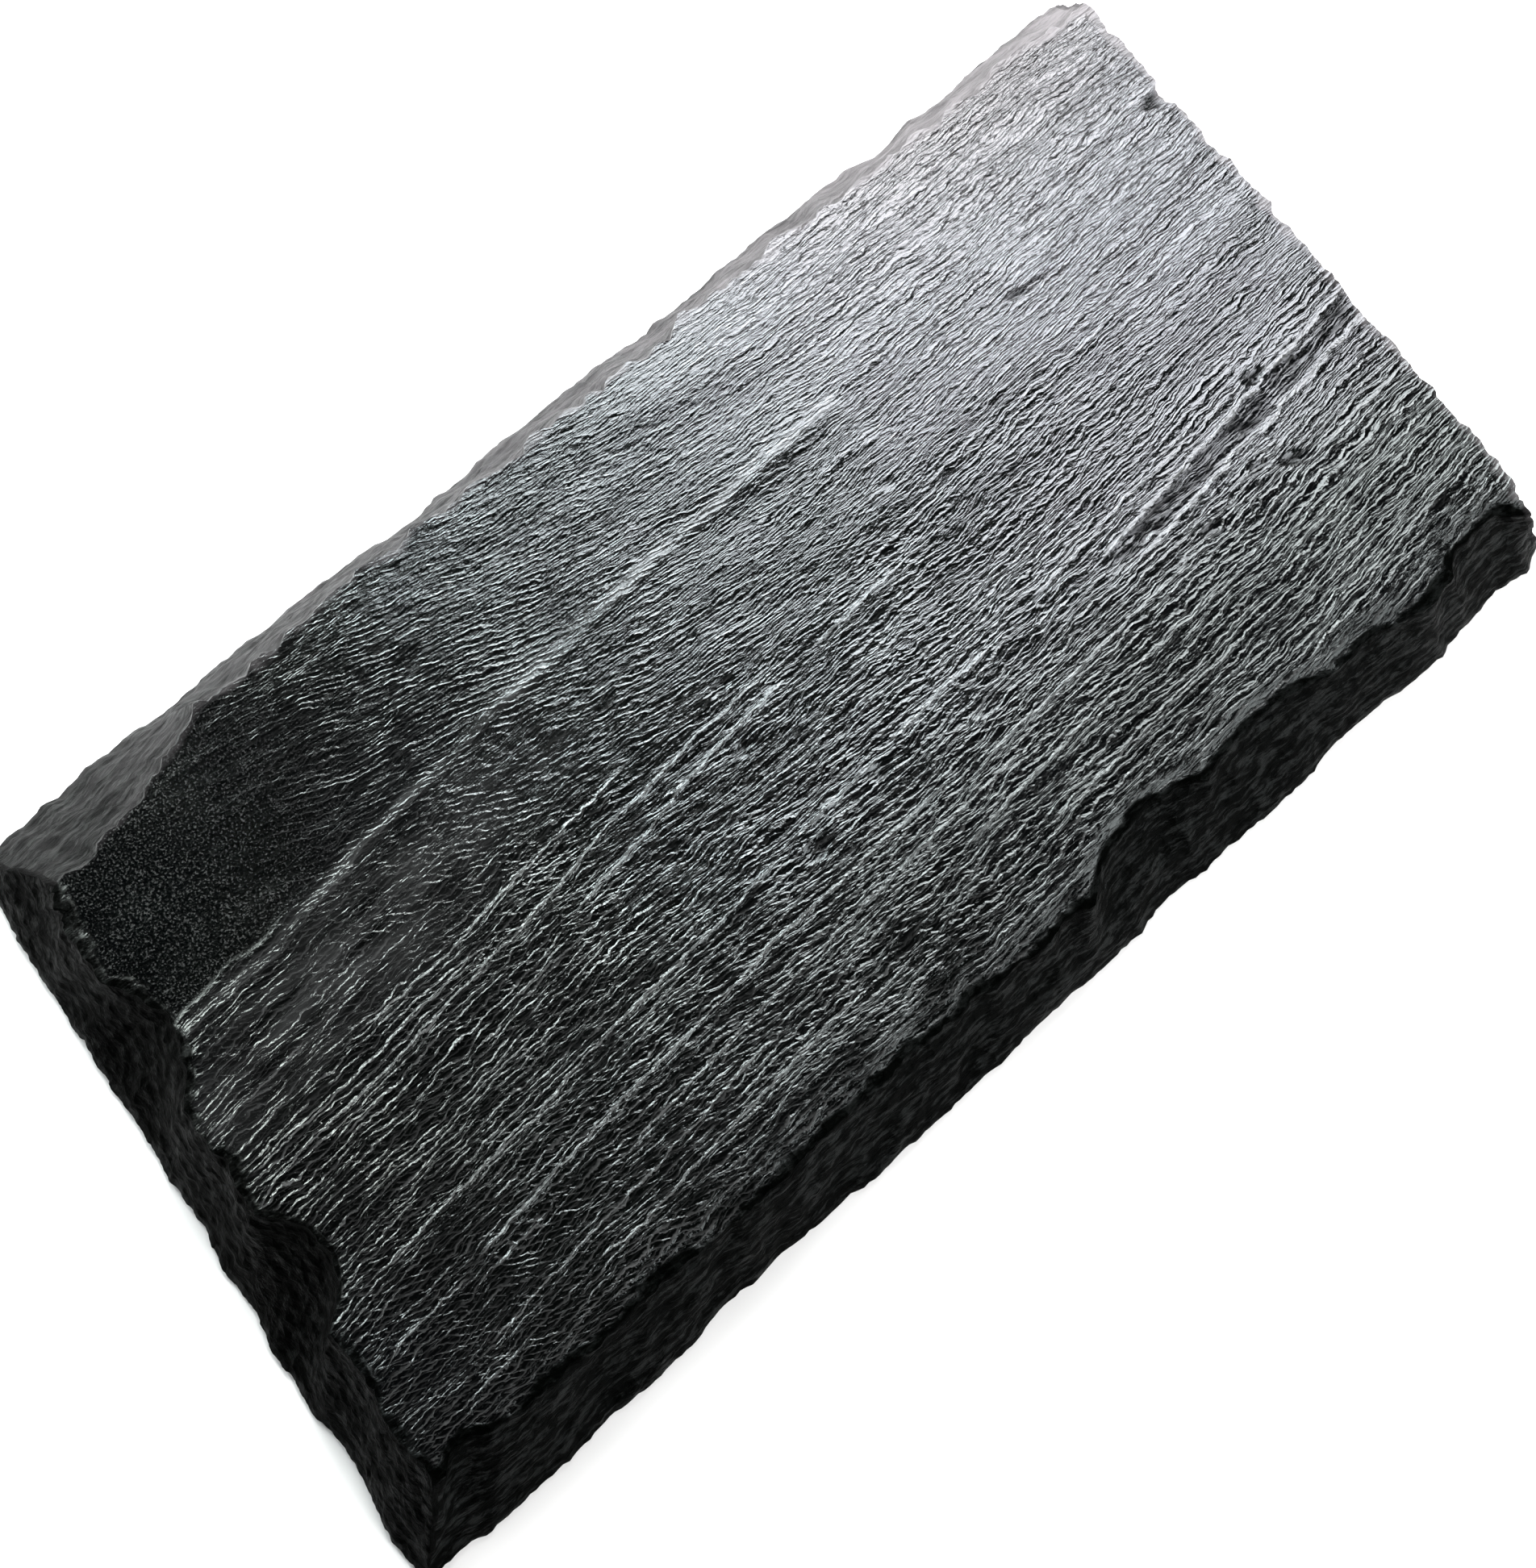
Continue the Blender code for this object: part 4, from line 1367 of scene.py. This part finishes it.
def slate_roughness(bench, look, pattern):
    """Polished in streaks along the grain, and rougher on broken and calm stone and where light is
    painted on the back and right.
    """
    streaks = bench.noise(bench.times(pattern.grain, (1.0 / 0.008, 0.6, 0.0)))
    roughness = streaks.spread(0.3, 0.7, look.roughness_low, look.roughness_high)
    roughness = pattern.broken.times_plus(BROKEN_ROUGH, roughness)
    roughness = pattern.pale.times_plus(PAINTED_LIGHT_ROUGH, roughness)
    return pattern.calm.times_plus(look.calm_roughness, roughness)


def slate_relief(bench, look, pattern):
    """Height of the finest relief: lines, edges and cracks, the sides' leaves, tooth and sand."""
    grain_ridge, hatch_ridge, thin_ridge = pattern.ridges
    lines = (grain_ridge * look.line_depth).at_least(hatch_ridge * look.stroke_depth)
    relief = lines + pattern.edge_height * look.edge_depth
    relief = thin_ridge.times_plus(look.thin_depth, relief) * pattern.split
    relief = relief * pattern.calm.spread(0.0, 1.0, 1.0, CALM_RELIEF)
    relief = relief - pattern.cracks * look.crack_depth
    facets = {"Vector": bench.stretched(FACET_STRETCH), "Scale": FACET_SCALE}
    facets = Value(bench, bench.add("ShaderNodeTexVoronoi", facets).outputs["Distance"])
    leaves = facets.times_plus(FACET_GAIN, pattern.leaves) - LEAF_MIDDLE
    leaves = leaves * (pattern.broken * look.leaf_depth)
    tooth = bench.noise(bench.times(pattern.grain, (1.0 / 0.0016, 2.2, 0.0)), roughness=0.65)
    tooth = tooth + (pattern.sand - tooth) * pattern.smooth
    depth = pattern.smooth.times_plus(look.sand_depth, look.tooth_depth)
    depth = pattern.calm.times_plus(CALM_TOOTH * look.tooth_depth, depth)
    return relief + leaves + tooth.spread(0.42, 0.66) * depth


def slate_material(look):
    """Dark blue-grey stone, with lines along the grain, a slanting hatch and a sandy tooth."""
    bench = NodeBench("riven slate")
    pattern = SlatePattern(bench)
    bench.finish("Base Color", slate_colour(bench, look, pattern))
    bench.finish("Specular IOR Level", slate_gloss(bench, look, pattern))
    bench.finish("Specular Tint", bench.mark("tint", "Color"))
    bench.finish("Roughness", slate_roughness(bench, look, pattern))
    bench.finish("IOR", 1.6)
    height = slate_relief(bench, look, pattern)
    bump = bench.add("ShaderNodeBump", {"Height": height, "Distance": 1.0, "Strength": 1.0})
    bench.finish("Normal", bump.outputs["Normal"])
    return bench.material


def floor_material(stage):
    """Pale matt paper with the faintest mottle."""
    bench = NodeBench("pale floor")
    mottle = bench.noise(bench.stretched((1.0, 1.0, 1.0)), 6.0, detail=2.0)
    low = tuple(0.985 * part for part in stage.floor_colour)
    bench.finish("Base Color", bench.ramp(mottle, ((0.35, low), (0.65, tuple(stage.floor_colour)))))
    bench.finish("Roughness", 0.9)
    bench.finish("Specular IOR Level", 0.1)
    return bench.material


def length(name, description, default, low=0.0, high=0.002):
    """A length in metres, shown in the scene's unit."""
    return bpy.props.FloatProperty(
        name=name, description=description, default=default, min=low, max=high, unit="LENGTH"
    )


def share(name, description, default, high=1.0):
    """A share from 0 to 1, or a factor from 0 up."""
    return bpy.props.FloatProperty(
        name=name, description=description, default=default, min=0.0, max=high, subtype="FACTOR"
    )


def angle(name, description, degrees):
    """An angle given in degrees and kept in radians."""
    return bpy.props.FloatProperty(
        name=name, description=description, default=math.radians(degrees), subtype="ANGLE"
    )


def power(name, description, default):
    """The power of a light in watts."""
    return bpy.props.FloatProperty(
        name=name, description=description, default=default, min=0.0, max=1000.0, unit="POWER"
    )


def colour(name, description, default):
    """A colour in linear red, green and blue."""
    return bpy.props.FloatVectorProperty(
        name=name, description=description, default=default, min=0.0, max=1.0, subtype="COLOR"
    )


def place(name, description, default):
    """A point in metres."""
    return bpy.props.FloatVectorProperty(
        name=name, description=description, default=default, subtype="TRANSLATION"
    )


class SlateFormSettings(bpy.types.PropertyGroup):
    thickness: length("Thickness", "Height of the top face's mean plane", 0.0180, 0.004, 0.06)
    rib_spacing: length("Rib spacing", "Distance between the main ribs", 0.00150, 0.0005, 0.01)
    rib_height: length("Rib height", "Height of the main ribs", 0.00009)
    hatch_spacing: length(
        "Hatch spacing", "Distance between the slanting ribs", 0.00140, 0.0005, 0.01
    )
    hatch_height: length("Hatch height", "Height of the slanting ribs", 0.00005)
    wave_height: length("Wave height", "Height of the slow waves of the top face", 0.00050)
    layer_scale: share("Layer steps", "Multiplies the steps between split layers", 0.38, 3.0)
    trough_depth: length(
        "Trough depth", "Depth of the strip where a layer broke away", 0.00017, high=0.003
    )
    side_roughness: length(
        "Side roughness", "Depth of the fine break of the sides", 0.00045, high=0.003
    )
    leaf_thickness: length(
        "Leaf thickness", "Thickness of the leaves that show on the sides", 0.0026, 0.0005, 0.01
    )
    under_height: length("Underside relief", "Height of the waves under the slab", 0.00030)


class SlateLookSettings(bpy.types.PropertyGroup):
    base_colour: colour("Stone", "Main colour of the slate", (0.0006, 0.0007, 0.0007))
    green_colour: colour(
        "Green drift", "Colour where the slate turns greenish", (0.0005, 0.0007, 0.0006)
    )
    blue_colour: colour(
        "Blue drift", "Colour where the slate turns bluish", (0.0006, 0.0007, 0.0009)
    )
    # Crest colour and share: partly worn stone, partly painted highlights on the lines' lit crests.
    crest_wear_highlight_colour: colour(
        "Worn crests", "Colour of the scuffed crests of the ribs", (0.115, 0.117, 0.117)
    )
    crest_wear_highlight_share: share("Crest wear", "How far the crests take on the worn colour", 0.44)
    # The smooth patch's grey specks: partly grain colour, partly painted glints.
    sand_speck_glint_share: share(
        "Sand specks", "How far the grains of the smooth patch take on the worn colour", 0.28
    )
    side_colour: colour(
        "Sides", "Colour of the freshly broken sides", (0.0003, 0.0004, 0.0003)
    )
    leaf_colour: colour(
        "Leaf edges", "Colour of the leaf edges on the sides", (0.0013, 0.0016, 0.0014)
    )
    # Colour of the light painted on the back and right rims and sides.
    painted_light_colour: colour(
        "Pale break", "Colour of the pale back and right sides", (0.164, 0.152, 0.158)
    )
    side_gloss: share("Side gloss", "Gloss of the broken sides", 0.01)
    leaf_gloss: share("Leaf gloss", "Gloss that the leaf edges gain over the sides", 0.055)
    groove_gloss: share("Groove gloss", "Gloss left in the feet of the fine lines", 0.06)
    roughness_low: share("Least roughness", "Roughness of the most polished streaks", 0.085)
    roughness_high: share("Most roughness", "Roughness of the dullest streaks", 0.15)
    calm_roughness: share("Calm roughness", "Roughness added at the back right corner", 0.10)
    line_depth: length("Line depth", "Depth of the finest lines along the grain", 0.00010)
    stroke_depth: length("Stroke depth", "Depth of the finest slanting strokes", 0.000086)
    thin_depth: length("Thin line depth", "Depth of the thin lines between the ribs", 0.000028)
    edge_depth: length("Edge depth", "Height of the sharp edge along each rise", 0.00015)
    crack_depth: length("Crack depth", "Depth of the short cracks along the grain", 0.00007)
    tooth_depth: length("Tooth depth", "Depth of the sandy tooth", 0.000015)
    sand_depth: length("Sand depth", "Depth that the smooth patch's tooth gains", 0.000020)
    leaf_depth: length("Leaf depth", "Depth of the fine leaves on the sides", 0.00060, high=0.003)


class SlateStageSettings(bpy.types.PropertyGroup):
    floor_colour: colour("Floor", "Colour of the floor", (0.86, 0.86, 0.855))
    floor_size: length("Floor size", "Side of the square floor", 8.0, 1.0, 50.0)
    key_place: place("Key light", "Where the main light stands", (0.385, 0.413, 0.500))
    key_aim: place("Key aim", "Where the main light points", (0.060, 0.030, 0.018))
    key_size: length("Key size", "Side of the main light's panel", 0.46, 0.01, 5.0)
    key_power: power("Key power", "Power of the main light", 10.2)
    key_colour: colour("Key colour", "Colour of the main and fill lights", (1.0, 1.0, 1.0))
    rim_place: place("Back light", "Where the light behind the slab stands", (-0.05, 0.72, 0.42))
    rim_aim: place("Back light aim", "Where the back and fill lights point", (0.0, 0.0, 0.018))
    rim_length: length("Back light length", "Length of the back light's panel", 0.9, 0.01, 5.0)
    rim_height: length("Back light height", "Height of the back light's panel", 0.22, 0.01, 5.0)
    rim_power: power("Back light power", "Power of the back light", 14.0)
    rim_colour: colour("Back light colour", "Colour of the back light", (0.95, 1.0, 1.0))
    fill_place: place(
        "Fill light", "Where the light that softens the shadow stands", (0.45, -0.75, 0.60)
    )
    fill_size: length("Fill size", "Side of the fill light's panel", 0.80, 0.01, 5.0)
    fill_power: power("Fill power", "Power of the fill light", 21.0)
    sky_level: share("Sky level", "Brightness of the light from all round", 0.015, 10.0)
    view_azimuth: angle("View azimuth", "Turn of the camera round the slab", -42.3)
    view_elevation: angle("View elevation", "Height of the camera over the horizon", 70.0)
    view_distance: length(
        "View distance", "From the camera to the point that it aims at", 0.5412, 0.05, 10.0
    )
    view_aim: place("View aim", "The point that the camera aims at", (-0.0155, -0.0151, 0.0180))
    view_lens: bpy.props.FloatProperty(
        name="Lens",
        description="Focal length for a 36 mm frame",
        default=64.8,
        min=10.0,
        max=500.0,
        unit="CAMERA",
    )


class SLATE_OT_slab(bpy.types.Operator):
    """Build the slate slab over its node"""

    bl_idname = "slate.slab"
    bl_label = "Slate slab"

    def execute(self, context):
        form = context.scene.slate_form
        piece = mesh_object("slate_slab_riven", *slab_surface(form))
        piece.data.materials.append(slate_material(context.scene.slate_look))
        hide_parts(NODE)
        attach(piece, BODY)
        return {"FINISHED"}


class SLATE_OT_stage(bpy.types.Operator):
    """Build the floor, the lights and the camera"""

    bl_idname = "slate.stage"
    bl_label = "Stage"

    def execute(self, context):
        stage = context.scene.slate_stage
        self.add_floor(stage)
        for light, size, aim, tint in (
            ("key", (stage.key_size, stage.key_size), stage.key_aim, stage.key_colour),
            ("rim", (stage.rim_length, stage.rim_height), stage.rim_aim, stage.rim_colour),
            ("fill", (stage.fill_size, stage.fill_size), stage.rim_aim, stage.key_colour),
        ):
            where, watts = getattr(stage, light + "_place"), getattr(stage, light + "_power")
            self.add_panel(context, PANEL_NAMES[light], where, aim, size, watts, tint)
        self.add_surround(context, stage)
        self.add_camera(context, stage)
        context.scene.view_settings.view_transform = "Standard"
        return {"FINISHED"}

    def add_floor(self, stage):
        half = stage.floor_size / 2.0
        low = CAD_LOW[2] - FLOOR_GAP
        corners = ((-half, -half), (half, -half), (half, half), (-half, half))
        points = np.array([(x, y, low) for x, y in corners])
        floor = mesh_object("floor", points, np.array([(0, 1, 2), (0, 2, 3)]))
        floor.data.materials.append(floor_material(stage))
        floor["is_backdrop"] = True

    def add_panel(self, context, name, where, aim, size, watts, tint):
        panel = bpy.data.lights.new(name, "AREA")
        panel.color = tint
        panel.shape = "RECTANGLE"
        panel.size, panel.size_y = size
        panel.energy = watts
        light = bpy.data.objects.new(name, panel)
        light.location = where
        light.rotation_euler = (Vector(aim) - Vector(where)).to_track_quat("-Z", "Y").to_euler()
        context.scene.collection.objects.link(light)

    def add_surround(self, context, stage):
        world = bpy.data.worlds.new("pale surround")
        world.use_nodes = True
        background = world.node_tree.nodes["Background"]
        background.inputs["Color"].default_value = (1.0, 1.0, 1.0, 1.0)
        background.inputs["Strength"].default_value = stage.sky_level
        context.scene.world = world

    def add_camera(self, context, stage):
        lens = bpy.data.cameras.new("view")
        lens.sensor_width = 36.0
        lens.lens = stage.view_lens
        camera = bpy.data.objects.new("view", lens)
        flat = math.cos(stage.view_elevation)
        back = Vector((
            math.sin(stage.view_azimuth) * flat,
            -math.cos(stage.view_azimuth) * flat,
            math.sin(stage.view_elevation),
        ))
        camera.location = Vector(stage.view_aim) + back * stage.view_distance
        camera.rotation_euler = (-back).to_track_quat("-Z", "Y").to_euler()
        context.scene.collection.objects.link(camera)
        context.scene.camera = camera


class SLATE_PT_panel(bpy.types.Panel):
    """Lists the slab's settings and the operators that build it"""

    bl_idname = "SLATE_PT_panel"
    bl_label = "Slate slab"
    bl_space_type = "VIEW_3D"
    bl_region_type = "UI"
    bl_category = "Slate"

    def draw(self, context):
        for operator, group in PANEL_ROWS:
            settings = getattr(context.scene, group)
            box = self.layout.box()
            box.operator(operator)
            for name in settings.__annotations__:
                box.prop(settings, name)


CLASSES = (
    SlateFormSettings,
    SlateLookSettings,
    SlateStageSettings,
    SLATE_OT_slab,
    SLATE_OT_stage,
    SLATE_PT_panel,
)


def register():
    for item in CLASSES:
        bpy.utils.register_class(item)
    bpy.types.Scene.slate_form = bpy.props.PointerProperty(type=SlateFormSettings)
    bpy.types.Scene.slate_look = bpy.props.PointerProperty(type=SlateLookSettings)
    bpy.types.Scene.slate_stage = bpy.props.PointerProperty(type=SlateStageSettings)


def unregister():
    del bpy.types.Scene.slate_stage
    del bpy.types.Scene.slate_look
    del bpy.types.Scene.slate_form
    for item in reversed(CLASSES):
        bpy.utils.unregister_class(item)


def main():
    register()
    bpy.ops.slate.slab()
    bpy.ops.slate.stage()
    bpy.context.view_layer.update()


if __name__ == "__main__":
    main()
